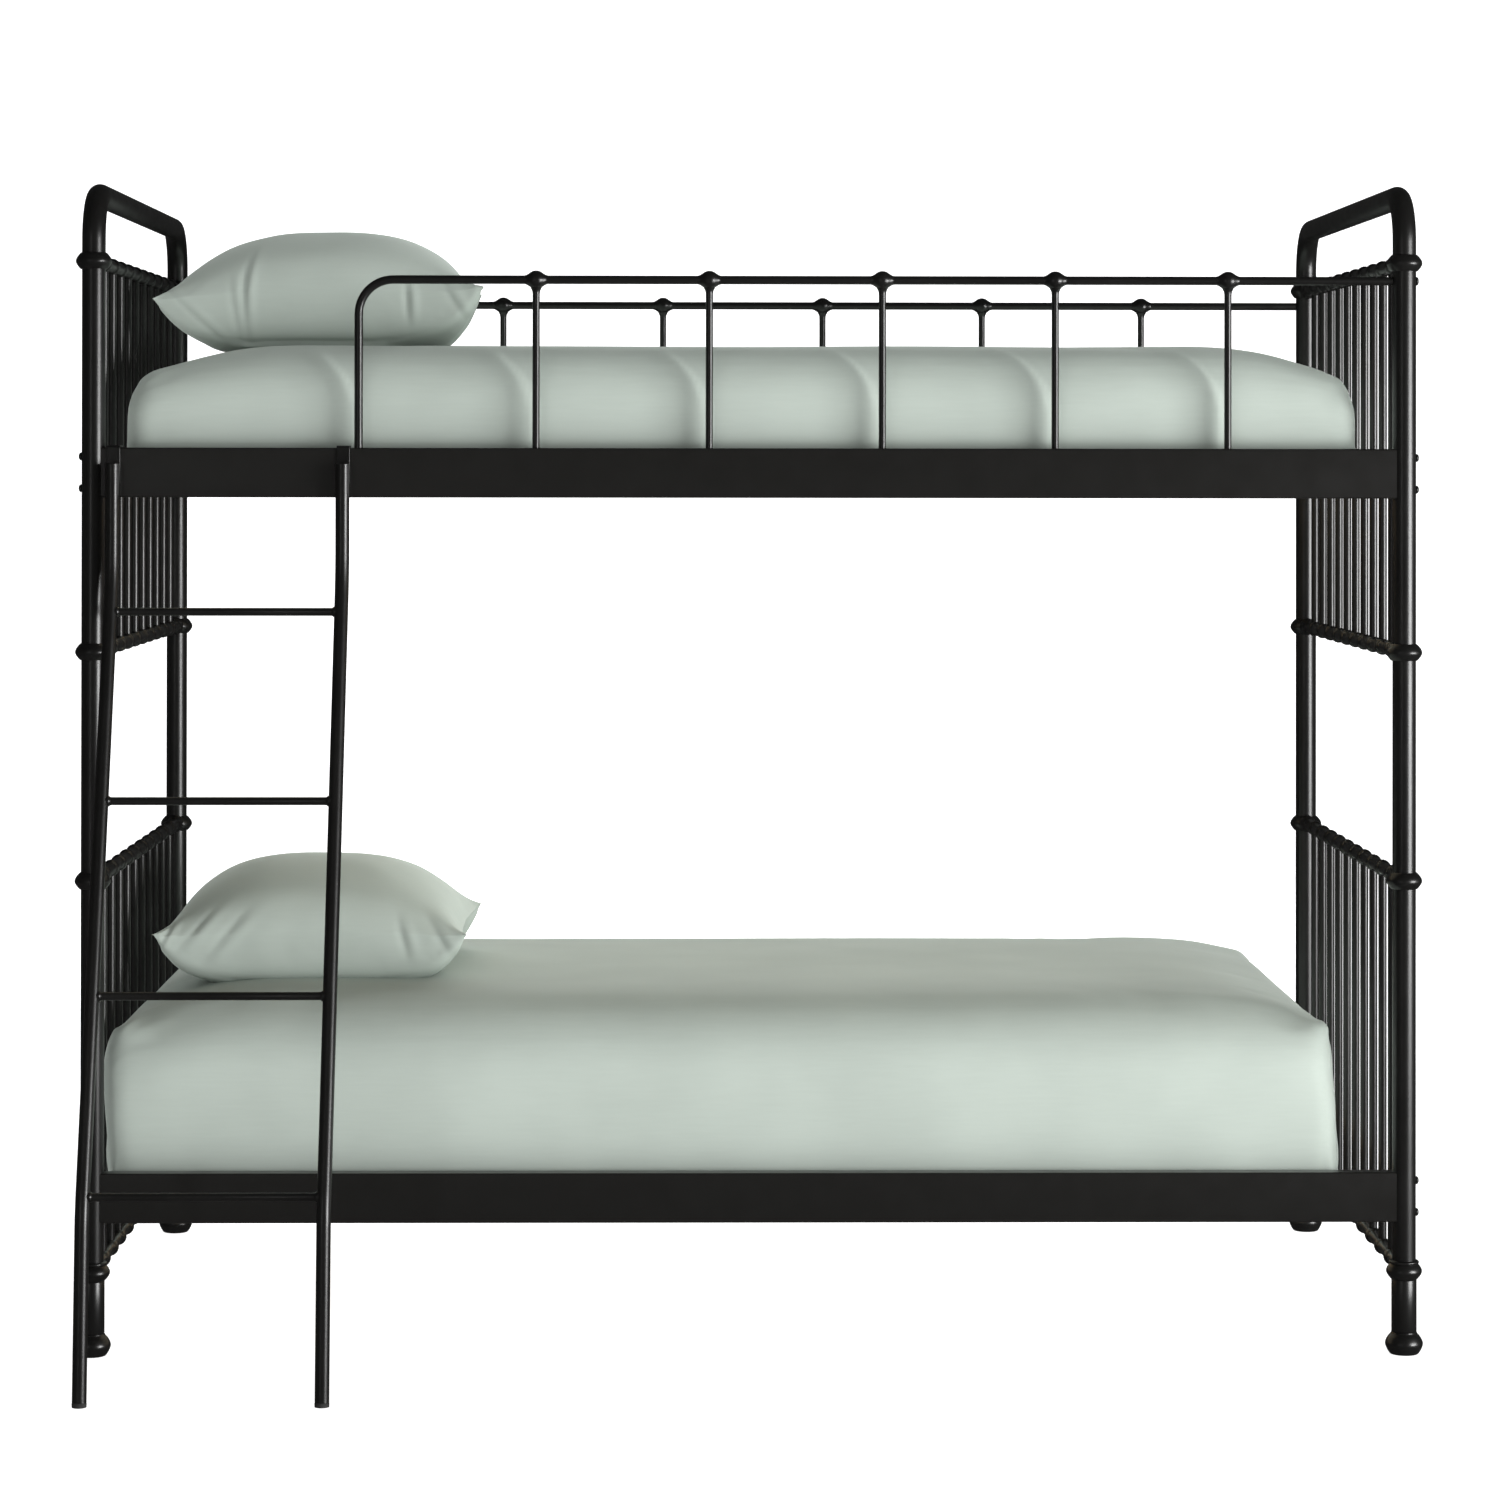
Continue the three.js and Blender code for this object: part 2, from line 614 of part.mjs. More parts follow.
// The cast knot on a guard rod above a baluster: a ball that flares into the rod on both sides.
function guardKnot() {
  const ball = GUARD_KNOT_DIAMETER / 2;
  const lip = GUARD_DIAMETER / 2 + GUARD_FLARE_LIP;
  return turned([
    [0, -GUARD_FLARE_LENGTH],
    [lip, -GUARD_FLARE_LENGTH],
    [ball, -GUARD_KNOT_BAND],
    [ball, GUARD_KNOT_BAND],
    [lip, GUARD_FLARE_LENGTH],
    [0, GUARD_FLARE_LENGTH],
  ], ROD_SIDES).rotateY(Math.PI / 2);
}

function balusterParts(xs) {
  return xs.flatMap((x) => [
    guardKnot().translate(x, 0, guardZ),
    rodAlongZ(BALUSTER_DIAMETER / 2, upperRailTopZ - PEG_DEPTH, guardZ, SPINDLE_SIDES)
      .translate(x, 0, 0),
  ]);
}

function guardBoltBore(endSign) {
  const face = postX - postRadius - GAP;
  const depth = GUARD_BOLT_REACH + 2 * GAP;
  const middle = endSign * (face - depth / 2);
  return rodAlongX(GUARD_BOLT_DIAMETER / 2 + GAP, middle - depth / 2 - 1, middle + depth / 2 + 1,
    BOLT_SIDES).translate(0, 0, guardZ);
}

function frontGuardRail() {
  const end = postX - postRadius - GAP;
  const corners = [
    [guardStartX, upperRailTopZ - PEG_DEPTH],
    [guardStartX, guardZ],
    [end, guardZ],
  ].map(([x, z]) => new THREE.Vector3(x, 0, z));
  const rod = bentTube(corners, GUARD_BEND_RADIUS, GUARD_DIAMETER / 2, 0, ROD_SIDES);
  return cut(join([rod, ...balusterParts(frontBalusterXs())]), [guardBoltBore(1)]);
}

function backGuardRail() {
  const end = postX - postRadius - GAP;
  const rod = rodAlongX(GUARD_DIAMETER / 2, -end, end, ROD_SIDES).translate(0, 0, guardZ);
  const whole = join([rod, ...balusterParts(backBalusterXs())]);
  return cut(whole, [guardBoltBore(-1), guardBoltBore(1)]);
}

function addGuards() {
  addPiece(bunkBed, "front_guard_rail", "iron", geometryFrom(frontGuardRail()), 0, -postY);
  addPiece(bunkBed, "back_guard_rail", "iron", geometryFrom(backGuardRail()), 0, postY);
  const length = 2 * (postRadius + GAP) + GUARD_BOLT_REACH;
  const places = [["front", -1, "right", 1], ["back", 1, "left", -1], ["back", 1, "right", 1]];
  for (const [side, sideSign, end, endSign] of places) {
    const bolt = domedBolt(GUARD_BOLT_DIAMETER, length,
      GUARD_BOLT_HEAD_DIAMETER, GUARD_BOLT_HEAD_HEIGHT);
    addEndBolt(`${side}_${end}_guard_bolt`, bolt, endSign, sideSign * postY, guardZ);
  }
}

// ---------------------------------------------------------------- ladder

const kneeY = ladderTopY;
const ankleY = kneeY - LADDER_LEAN * (kneeZ - LADDER_ANKLE_Z);
const toeY = ankleY - LADDER_FOOT_LEAN * LADDER_ANKLE_Z;
const footAxis = new THREE.Vector3(0, toeY - ankleY, -LADDER_ANKLE_Z).normalize();
const ladderTubeEnd = new THREE.Vector3(0, toeY, 0)
  .addScaledVector(footAxis, -(LADDER_PLUG_HEIGHT + ladderRadius * LADDER_FOOT_LEAN));

function ladderCorners() {
  return [
    new THREE.Vector3(0, ladderTopY, ladderTopZ),
    new THREE.Vector3(0, kneeY, kneeZ),
    new THREE.Vector3(0, ankleY, LADDER_ANKLE_Z),
    ladderTubeEnd,
  ];
}

function ladderSide(radius, holeRadius) {
  return bentTube(ladderCorners(), LADDER_BEND_RADIUS, radius, holeRadius, ROD_SIDES);
}

// A rung whose ends are coped round both side tubes.
function ladderRung(z) {
  const y = kneeY - LADDER_LEAN * (kneeZ - z);
  const half = LADDER_PITCH / 2;
  const bar = rodAlongX(RUNG_DIAMETER / 2, -half, half, ROD_SIDES).translate(0, y, z);
  const tubes = [-half, half].map((x) => ladderSide(ladderRadius + GAP, 0).translate(x, 0, 0));
  return cut(solidFrom(bar), tubes);
}

// A flat bar bent over the upper side rail, welded down the back of the ladder tube.
function ladderHook() {
  const outerFace = -(railFaceY + GAP + HOOK_THICKNESS);
  const outerBack = -(railFaceY + GAP);
  const innerFace = -(railBackY - GAP);
  const innerBack = -(railBackY - GAP - HOOK_THICKNESS);
  const under = upperRailTopZ + GAP;
  const top = under + HOOK_THICKNESS;
  return drawnAlongX([
    [outerFace, ladderTopZ - HOOK_OVERLAP],
    [outerBack, ladderTopZ - HOOK_OVERLAP],
    [outerBack, under],
    [innerFace, under],
    [innerFace, upperRailTopZ - HOOK_BEHIND],
    [innerBack, upperRailTopZ - HOOK_BEHIND],
    [innerBack, top],
    [outerFace, top],
  ], HOOK_WIDTH);
}

// A rubber plug in the tube's end, trimmed level with the floor.
function ladderPlug() {
  const radius = ladderRadius;
  const spigot = radius - LADDER_WALL - GAP;
  const below = 2 * LADDER_PLUG_HEIGHT + radius;
  const plug = turned([
    [0, -below],
    [radius, -below],
    [radius, -GAP],
    [spigot, -GAP],
    [spigot, LADDER_PLUG_SPIGOT],
    [0, LADDER_PLUG_SPIGOT],
  ], ROD_SIDES);
  const upwards = footAxis.clone().negate();
  const turn = new THREE.Quaternion().setFromUnitVectors(new THREE.Vector3(0, 0, 1), upwards);
  plug.applyQuaternion(turn).translate(ladderTubeEnd.x, ladderTubeEnd.y, ladderTubeEnd.z);
  const floor = new THREE.BoxGeometry(8 * radius, 8 * radius, 8 * radius)
    .translate(0, toeY, -4 * radius);
  return cut(solidFrom(plug), [floor]);
}

function addLadder() {
  const ladder = new THREE.Group();
  ladder.position.x = ladderX;
  bunkBed.add(ladder);
  for (const [end, endSign] of ENDS) {
    const x = (endSign * LADDER_PITCH) / 2;
    const tube = ladderSide(ladderRadius, ladderRadius - LADDER_WALL);
    addPiece(ladder, `ladder_${end}_side`, "iron", tube, x);
    addPiece(ladder, `ladder_${end}_hook`, "iron", ladderHook(), x);
    addPiece(ladder, `ladder_${end}_foot_plug`, "rubber", geometryFrom(ladderPlug()), x);
  }
  for (let i = 0; i < RUNG_COUNT; i += 1) {
    const rung = geometryFrom(ladderRung(topRungZ - i * rungPitch));
    addPiece(ladder, `ladder_rung_${i + 1}`, "iron", rung);
  }
}

// ---------------------------------------------------------------- bedding

function addBedding() {
  const beds = [
    ["lower", lowerRailTopZ, LOWER_MATTRESS_THICKNESS, LOWER_MATTRESS_INSET, LOWER_PILLOW_INSET],
    ["upper", upperRailTopZ, UPPER_MATTRESS_THICKNESS, UPPER_MATTRESS_INSET, UPPER_PILLOW_INSET],
  ];
  for (const [level, railTop, thickness, mattressInset, pillowInset] of beds) {
    const bottom = railTop - slatTopDrop + GAP;
    const headX = -postX + mattressInset;
    const mattress = softBlock(mattressLength, mattressWidth, thickness,
      MATTRESS_CORNER_RADIUS, MATTRESS_EDGE_RADIUS, CUSHION_STEPS);
    const mattressX = headX + mattressLength / 2;
    addPiece(bunkBed, `${level}_mattress`, "sheet", mattress, mattressX, 0, bottom);
    const pillow = softBlock(PILLOW_LENGTH, PILLOW_WIDTH, PILLOW_THICKNESS,
      PILLOW_CORNER_RADIUS, PILLOW_EDGE_RADIUS, CUSHION_STEPS);
    const pillowX = headX + pillowInset + PILLOW_LENGTH / 2;
    addPiece(bunkBed, `${level}_pillow`, "sheet", pillow, pillowX, 0, bottom + thickness + GAP);
  }
}

addEnds();
addSideRails();
addSlats();
addGuards();
addLadder();
addBedding();

// The part stands on the floor with its origin under the middle of its whole outline.
bunkBed.updateMatrixWorld(true);
const outline = new THREE.Box3().setFromObject(bunkBed, true);
const middle = outline.getCenter(new THREE.Vector3());
bunkBed.position.set(-middle.x, -middle.y, -outline.min.z);

const part = new THREE.Group();
part.add(bunkBed);
part.updateMatrixWorld(true);

export default part;
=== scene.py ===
"""The looks of the iron bunk bed: smooth metalwork, cloth bedding, materials, light and camera."""
import json
import math

import bmesh
import bpy
from mathutils import Matrix, Vector, noise


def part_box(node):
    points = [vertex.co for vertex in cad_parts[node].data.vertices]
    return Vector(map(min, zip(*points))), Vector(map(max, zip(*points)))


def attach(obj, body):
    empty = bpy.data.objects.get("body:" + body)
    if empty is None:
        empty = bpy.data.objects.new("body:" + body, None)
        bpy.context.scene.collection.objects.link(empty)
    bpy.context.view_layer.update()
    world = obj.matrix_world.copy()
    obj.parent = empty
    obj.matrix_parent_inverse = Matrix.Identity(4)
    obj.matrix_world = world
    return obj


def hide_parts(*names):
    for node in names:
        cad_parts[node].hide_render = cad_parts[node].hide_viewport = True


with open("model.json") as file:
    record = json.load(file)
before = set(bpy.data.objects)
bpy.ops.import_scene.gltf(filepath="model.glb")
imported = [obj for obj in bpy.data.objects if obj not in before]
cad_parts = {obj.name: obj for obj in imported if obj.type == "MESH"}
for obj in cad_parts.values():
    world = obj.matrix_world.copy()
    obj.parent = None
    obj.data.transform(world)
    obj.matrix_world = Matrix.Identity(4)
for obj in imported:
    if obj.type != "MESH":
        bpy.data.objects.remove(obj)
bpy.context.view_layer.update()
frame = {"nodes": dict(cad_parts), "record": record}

# ---------------------------------------------------------------- sizes in metres

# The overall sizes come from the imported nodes. These are what their boxes can't tell.
HOOP_BEND_RADIUS = 0.070
COLLAR_HALF = 0.0125
COLLAR_BULGE = 0.00925
FOOT_BASE_RADIUS = 0.0195
FOOT_NECK_RADIUS = 0.0192
SPIGOT_SLACK = 0.0023
SPINDLE_COUNT = 10
SPINDLE_END_GAP = 0.110
SPINDLE_RADIUS = 0.0066
END_RAIL_RADIUS = 0.0095
RAIL_HALF_HEIGHT = 0.0375
RAIL_WALL = 0.003
RAIL_DEPTH = 0.025
RAIL_CORNER = 0.003
RAIL_BLOCK_LENGTH = 0.012
RAIL_BLOCK_HALF_HEIGHT = 0.0346
LEDGE_DROP = 0.040
LEDGE_REACH = 0.020
LEDGE_END_GAP = 0.032
LEDGE_BEVEL = 0.0006
TOUCH_GAP = 0.0003
RAIL_BOLT_HEAD_HEIGHT = 0.004
GUARD_BOLT_HEAD_HEIGHT = 0.0036
BOLT_SHANK_SHARE = 0.57
BOLT_TIP_CHAMFER = 0.0006
SLAT_COUNT = 10
SLAT_WIDTH = 0.070
SLAT_THICKNESS = 0.015
SLAT_BEVEL = 0.0018
TAPE_WIDTH = 0.030
TAPE_INSET = 0.090
TAPE_THICKNESS = 0.0009
TAPE_GAP = 0.0001
TAPE_BEVEL = 0.0003
GUARD_RADIUS = 0.0065
GUARD_BEND_RADIUS = 0.052
GUARD_KNOT_RADIUS = 0.014
BALUSTER_RADIUS = 0.0055
FRONT_BALUSTERS = 5
FRONT_BAY_EXTRA = 0.006
BACK_BALUSTERS = 6
BACK_BAY_EXTRA = 0.011
LADDER_RADIUS = 0.0105
LADDER_WALL = 0.002
LADDER_KNEE_DROP = 0.188
LADDER_LEAN = 0.328
LADDER_ANKLE_Z = 0.274
LADDER_BEND_RADIUS = 0.25
TUBE_MOUTH_DEPTH = 0.030
HOOK_THICKNESS = 0.003
HOOK_BEND_RADIUS = 0.0012
HOOK_TAIL_DROP = 0.021
HOOK_BEVEL = 0.0006
RUNG_COUNT = 4
RUNG_RADIUS = 0.006

BODY_OF = {node: body for body, nodes in frame["record"]["behaviour"]["bodies"].items() for node in nodes}
X_AXIS = Vector((1, 0, 0))
Y_AXIS = Vector((0, 1, 0))
Z_AXIS = Vector((0, 0, 1))


def middle(node):
    low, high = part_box(node)
    return (Vector(low) + Vector(high)) / 2


hoop_low, hoop_high = (Vector(corner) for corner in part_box("right_end_hoop"))
POST_RADIUS = (hoop_high.x - hoop_low.x) / 2
POST_X = hoop_high.x - POST_RADIUS
FRONT_Y = hoop_low.y + POST_RADIUS
BACK_Y = hoop_high.y - POST_RADIUS
UPPER_RAIL_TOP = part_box("upper_front_side_rail")[1][2]

# ---------------------------------------------------------------- node groups for materials


def material(name):
    made = bpy.data.materials.new(name)
    made.use_nodes = True
    return made, made.node_tree, made.node_tree.nodes["Principled BSDF"]


def add(tree, kind, **inputs):
    """A node with some of its inputs set by name, and its own settings by lower-case name."""
    node = tree.nodes.new(kind)
    for key, value in inputs.items():
        if key in node.inputs:
            node.inputs[key].default_value = value
        else:
            setattr(node, key, value)
    return node


def stretched_noise(tree, scale, stretch=(1, 1, 1), detail=3.0):
    """Noise in the piece's own coordinates, in metres, stretched by a factor on each axis."""
    place = add(tree, "ShaderNodeTexCoord")
    mapping = add(tree, "ShaderNodeMapping")
    mapping.inputs["Scale"].default_value = stretch
    tree.links.new(place.outputs["Object"], mapping.inputs["Vector"])
    texture = add(tree, "ShaderNodeTexNoise", Scale=scale, Detail=detail)
    tree.links.new(mapping.outputs["Vector"], texture.inputs["Vector"])
    return texture.outputs["Fac"]


def ramp(tree, source, stops):
    """A colour ramp of (place, colour) stops, read by source."""
    node = add(tree, "ShaderNodeValToRGB")
    while len(node.color_ramp.elements) < len(stops):
        node.color_ramp.elements.new(0.5)
    for element, (place, colour) in zip(node.color_ramp.elements, stops):
        element.position = place
        element.color = (*colour, 1)
    tree.links.new(source, node.inputs["Fac"])
    return node.outputs["Color"]


def grey(value):
    return (value, value, value)


# The Mix node has a socket of the same name for each kind of data, so its sockets are picked by number.
MIX_FACTOR = 0
MIX_NUMBERS, MIX_NUMBERS_RESULT = (2, 3), 0
MIX_COLOURS, MIX_COLOURS_RESULT = (6, 7), 2


def mix_colours(tree, factor, first, second):
    """From the linked colour first to the plain colour second, by the linked factor."""
    node = add(tree, "ShaderNodeMix", data_type="RGBA")
    tree.links.new(factor, node.inputs[MIX_FACTOR])
    tree.links.new(first, node.inputs[MIX_COLOURS[0]])
    node.inputs[MIX_COLOURS[1]].default_value = (*second, 1)
    return node.outputs[MIX_COLOURS_RESULT]


def mix_numbers(tree, share, first, second):
    """From one linked number to another, by a plain share."""
    node = add(tree, "ShaderNodeMix", data_type="FLOAT")
    node.inputs[MIX_FACTOR].default_value = share
    for place, number in zip(MIX_NUMBERS, (first, second)):
        tree.links.new(number, node.inputs[place])
    return node.outputs[MIX_NUMBERS_RESULT]


def total(tree, first, second):
    node = add(tree, "ShaderNodeMath", operation="ADD")
    tree.links.new(first, node.inputs[0])
    tree.links.new(second, node.inputs[1])
    return node.outputs[0]


def bump(tree, shader, height, strength, distance):
    node = add(tree, "ShaderNodeBump", Strength=strength, Distance=distance)
    tree.links.new(height, node.inputs["Height"])
    tree.links.new(node.outputs["Normal"], shader.inputs["Normal"])


def ribs(tree, axis, period):
    """Fine threads across one axis, as heights from 0 to 1."""
    place = add(tree, "ShaderNodeTexCoord")
    wave = add(tree, "ShaderNodeTexWave", wave_type="BANDS", bands_direction=axis, wave_profile="SIN")
    wave.inputs["Scale"].default_value = math.pi / (10 * period)
    wave.inputs["Distortion"].default_value = 0.6
    wave.inputs["Detail Scale"].default_value = 3
    tree.links.new(place.outputs["Object"], wave.inputs["Vector"])
    return wave.outputs["Fac"]


THREAD_PERIOD = 0.0015


def powder_coat():
    """Satin black powder coat: a fine orange peel, uneven gloss, and a little shine worn onto the edges."""
    made, tree, shader = material("satin_black_iron")
    tone = ramp(tree, stretched_noise(tree, scale=7), [
        (0.3, (0.0040, 0.0039, 0.0037)), (0.7, (0.0070, 0.0068, 0.0064))])
    surface = add(tree, "ShaderNodeNewGeometry")
    edge = ramp(tree, surface.outputs["Pointiness"], [(0.56, grey(0)), (0.68, grey(1))])
    worn = (0.0080, 0.0076, 0.0070)
    tree.links.new(mix_colours(tree, edge, tone, worn), shader.inputs["Base Color"])
    gloss = ramp(tree, stretched_noise(tree, scale=30, detail=5), [(0.25, grey(0.28)), (0.8, grey(0.35))])
    tree.links.new(gloss, shader.inputs["Roughness"])
    bump(tree, shader, stretched_noise(tree, scale=700, detail=2), strength=0.10, distance=0.0002)
    return made


def bolt_steel():
    """Blackened steel: darker and glossier than the coat, with a brushed grain."""
    made, tree, shader = material("blackened_steel")
    tone = ramp(tree, stretched_noise(tree, scale=300, stretch=(1, 6, 6)), [
        (0.3, grey(0.02)), (0.7, (0.045, 0.044, 0.042))])
    tree.links.new(tone, shader.inputs["Base Color"])
    shader.inputs["Metallic"].default_value = 0.7
    gloss = ramp(tree, stretched_noise(tree, scale=200), [(0.2, grey(0.28)), (0.8, grey(0.42))])
    tree.links.new(gloss, shader.inputs["Roughness"])
    bump(tree, shader, stretched_noise(tree, scale=900, detail=2), strength=0.1, distance=0.0002)
    return made


def pine():
    """Planed pine with its grain along the slats, darker rings and a few knots."""
    made, tree, shader = material("planed_pine")
    grain = stretched_noise(tree, scale=42, stretch=(1, 0.05, 1), detail=6)
    colour = ramp(tree, grain, [
        (0.25, (0.42, 0.25, 0.12)), (0.5, (0.60, 0.41, 0.22)), (0.8, (0.68, 0.50, 0.30))])
    place = add(tree, "ShaderNodeTexCoord")
    mapping = add(tree, "ShaderNodeMapping")
    mapping.inputs["Scale"].default_value = (1, 0.35, 1)
    tree.links.new(place.outputs["Object"], mapping.inputs["Vector"])
    cells = add(tree, "ShaderNodeTexVoronoi", Scale=7)
    tree.links.new(mapping.outputs["Vector"], cells.inputs["Vector"])
    knots = ramp(tree, cells.outputs["Distance"], [(0.02, grey(1)), (0.09, grey(0))])
    knot_brown = (0.19, 0.09, 0.04)
    tree.links.new(mix_colours(tree, knots, colour, knot_brown), shader.inputs["Base Color"])
    tree.links.new(ramp(tree, grain, [(0.2, grey(0.72)), (0.8, grey(0.55))]), shader.inputs["Roughness"])
    fibres = stretched_noise(tree, scale=260, stretch=(1, 0.04, 1), detail=4)
    bump(tree, shader, fibres, strength=0.25, distance=0.0006)
    return made


def webbing():
    """Unbleached woven tape."""
    made, tree, shader = material("woven_tape")
    tone = ramp(tree, stretched_noise(tree, scale=400, stretch=(0.2, 1, 1)), [
        (0.3, (0.52, 0.49, 0.42)), (0.7, (0.66, 0.62, 0.54))])
    tree.links.new(tone, shader.inputs["Base Color"])
    shader.inputs["Roughness"].default_value = 0.9
    bump(tree, shader, ribs(tree, "Y", period=0.0022), strength=0.5, distance=0.0004)
    return made


def rubber():
    """Moulded black rubber, scuffed pale in patches."""
    made, tree, shader = material("moulded_rubber")
    tone = ramp(tree, stretched_noise(tree, scale=60, detail=6), [
        (0.35, grey(0.010)), (0.75, (0.035, 0.034, 0.033))])
    tree.links.new(tone, shader.inputs["Base Color"])
    scuffs = ramp(tree, stretched_noise(tree, scale=90), [(0.2, grey(0.6)), (0.8, grey(0.85))])
    tree.links.new(scuffs, shader.inputs["Roughness"])
    bump(tree, shader, stretched_noise(tree, scale=1200, detail=2), strength=0.3, distance=0.0003)
    return made


def cotton(name, dark, light):
    """Sage sateen: threads both ways, faint slubs along them, cloudy shading and a soft sheen."""
    made, tree, shader = material(name)
    cloud = stretched_noise(tree, scale=5, detail=2)
    slub = stretched_noise(tree, scale=240, stretch=(0.08, 1, 1), detail=2)
    shade = mix_numbers(tree, 0.25, cloud, slub)
    tree.links.new(ramp(tree, shade, [(0.35, dark), (0.65, light)]), shader.inputs["Base Color"])
    tree.links.new(ramp(tree, slub, [(0.3, grey(0.80)), (0.7, grey(0.90))]), shader.inputs["Roughness"])
    shader.inputs["Sheen Weight"].default_value = 0.06
    shader.inputs["Sheen Roughness"].default_value = 0.45
    shader.inputs["Sheen Tint"].default_value = (0.90, 0.95, 0.92, 1)
    shader.inputs["Specular IOR Level"].default_value = 0.15
    across_x, across_y, across_z = (ribs(tree, axis, THREAD_PERIOD) for axis in "XYZ")
    weave = total(tree, total(tree, across_x, across_y), across_z)
    bump(tree, shader, weave, strength=0.15, distance=0.0001)
    return made


IRON = powder_coat()
STEEL = bolt_steel()
PINE = pine()
TAPE = webbing()
RUBBER = rubber()
SHEET = cotton("sage_sheet", (0.382, 0.430, 0.390), (0.418, 0.471, 0.427))
PILLOWCASE = cotton("sage_pillowcase", (0.420, 0.474, 0.430), (0.450, 0.507, 0.460))

# ---------------------------------------------------------------- building pieces

SHARP_ANGLE = math.radians(38)


def smooth(points, steps=5):
    """A curve through the same points, as a list with steps of them for each gap."""
    ends = [points[0], *points, points[-1]]
    curve = []
    for i in range(len(points) - 1):
        a, b, c, d = (Vector(point) for point in ends[i:i + 4])
        for step in range(steps):
            t = step / steps
            curve.append(0.5 * (2 * b + (c - a) * t + (2 * a - 5 * b + 4 * c - d) * t ** 2
                                + (3 * b - a - 3 * c + d) * t ** 3))
    return [*curve, Vector(points[-1])]


def bent_path(corners, radius, steps=12):
    """Points and directions along straight stretches joined by round bends."""
    stations = [(corners[0], (corners[1] - corners[0]).normalized())]
    for before, corner, after in zip(corners, corners[1:], corners[2:]):
        arrive = (corner - before).normalized()
        leave = (after - corner).normalized()
        angle = arrive.angle(leave)
        start = corner - arrive * radius * math.tan(angle / 2)
        inward = (leave - arrive * arrive.dot(leave)).normalized()
        for step in range(steps + 1):
            turn = angle * step / steps
            point = start + arrive * radius * math.sin(turn) + inward * radius * (1 - math.cos(turn))
            stations.append((point, arrive * math.cos(turn) + inward * math.sin(turn)))
    stations.append((corners[-1], (corners[-1] - corners[-2]).normalized()))
    return stations


class Shell:
    """Collects the surfaces of one piece and makes an object of them."""

    def __init__(self):
        self.bm = bmesh.new()

    def loft(self, rings):
        """Joins rings of matching points into a closed surface, with a flat face over each end."""
        rows = [[self.bm.verts.new(point) for point in ring] for ring in rings]
        for row, following in zip(rows, rows[1:]):
            for i, vertex in enumerate(row):
                j = (i + 1) % len(row)
                self.bm.faces.new((vertex, row[j], following[j], following[i]))
        self.bm.faces.new(reversed(rows[0]))
        self.bm.faces.new(rows[-1])

    def lathe(self, base, axis, profile, sides=32):
        """Turns (radius, height) pairs about an axis through base. A radius of 0 becomes a tiny ring."""
        smallest = 1e-5
        side = axis.orthogonal().normalized()
        other = axis.cross(side)
        turns = [2 * math.pi * i / sides for i in range(sides)]
        self.loft([[base + axis * height + (side * math.cos(a) + other * math.sin(a)) * max(radius, smallest)
                    for a in turns] for radius, height in profile])

    def rod(self, start, end, radius, sides=24):
        axis = end - start
        self.lathe(start, axis.normalized(), [(radius, 0), (radius, axis.length)], sides)

    def sweep(self, stations, radius, across, sides=32):
        """A round rod along stations that bend in the plane square to across."""
        turns = [2 * math.pi * i / sides for i in range(sides)]
        self.loft([[point + (across * math.cos(a) + across.cross(ahead) * math.sin(a)) * radius
                    for a in turns] for point, ahead in stations])

    def plate(self, outer, inner, low_x, high_x):
        """A bent plate along X, between matching (y, z) lines. Its ends lie at low_x(y) and high_x(y)."""
        def row(line, end):
            return [self.bm.verts.new((end(y), y, z)) for y, z in line]

        outer_low, outer_high = row(outer, low_x), row(outer, high_x)
        inner_low, inner_high = row(inner, low_x), row(inner, high_x)
        for i in range(len(outer) - 1):
            j = i + 1
            self.bm.faces.new((outer_low[i], outer_low[j], outer_high[j], outer_high[i]))
            self.bm.faces.new((inner_low[j], inner_low[i], inner_high[i], inner_high[j]))
            self.bm.faces.new((outer_low[j], outer_low[i], inner_low[i], inner_low[j]))
            self.bm.faces.new((outer_high[i], outer_high[j], inner_high[j], inner_high[i]))
        for i, (a, b) in ((0, (1, 0)), (-1, (0, 1))):
            lip = ((outer_low[i], outer_high[i]), (inner_low[i], inner_high[i]))
            self.bm.faces.new((*lip[b], *reversed(lip[a])))

    def block(self, low, high, bevel):
        """A box with its edges rounded."""
        size = Vector(high) - Vector(low)
        place = Matrix.Translation((Vector(low) + Vector(high)) / 2) @ Matrix.Diagonal((*size, 1))
        made = bmesh.ops.create_cube(self.bm, size=1, matrix=place)
        edges = {edge for vertex in made["verts"] for edge in vertex.link_edges}
        bmesh.ops.bevel(self.bm, geom=list(edges), offset=bevel, segments=2, affect="EDGES", profile=0.5)

    def object(self, name, look):
        bmesh.ops.recalc_face_normals(self.bm, faces=self.bm.faces)
        mesh = bpy.data.meshes.new(name)
        self.bm.to_mesh(mesh)
        self.bm.free()
        mesh.shade_smooth()
        mesh.set_sharp_from_angle(angle=SHARP_ANGLE)
        mesh.materials.append(look)
        made = bpy.data.objects.new(name, mesh)
        bpy.context.scene.collection.objects.link(made)
        return made

    def stand_for(self, node, look):
        """The finished piece in place of a CAD node, on that node's body."""
        made = self.object(f"{node}_finished", look)
        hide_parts(node)
        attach(made, BODY_OF[node])
        return made


# ---------------------------------------------------------------- ends


def hoop(end, sign):
    node = f"{end}_end_hoop"
    low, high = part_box(node)
    x = sign * POST_X
    corners = [Vector((x, FRONT_Y, low[2])), Vector((x, FRONT_Y, high[2] - POST_RADIUS)),
               Vector((x, BACK_Y, high[2] - POST_RADIUS)), Vector((x, BACK_Y, low[2]))]
    shell = Shell()
    shell.sweep(bent_path(corners, HOOP_BEND_RADIUS, 16), POST_RADIUS, X_AXIS, 48)
    shell.stand_for(node, IRON)


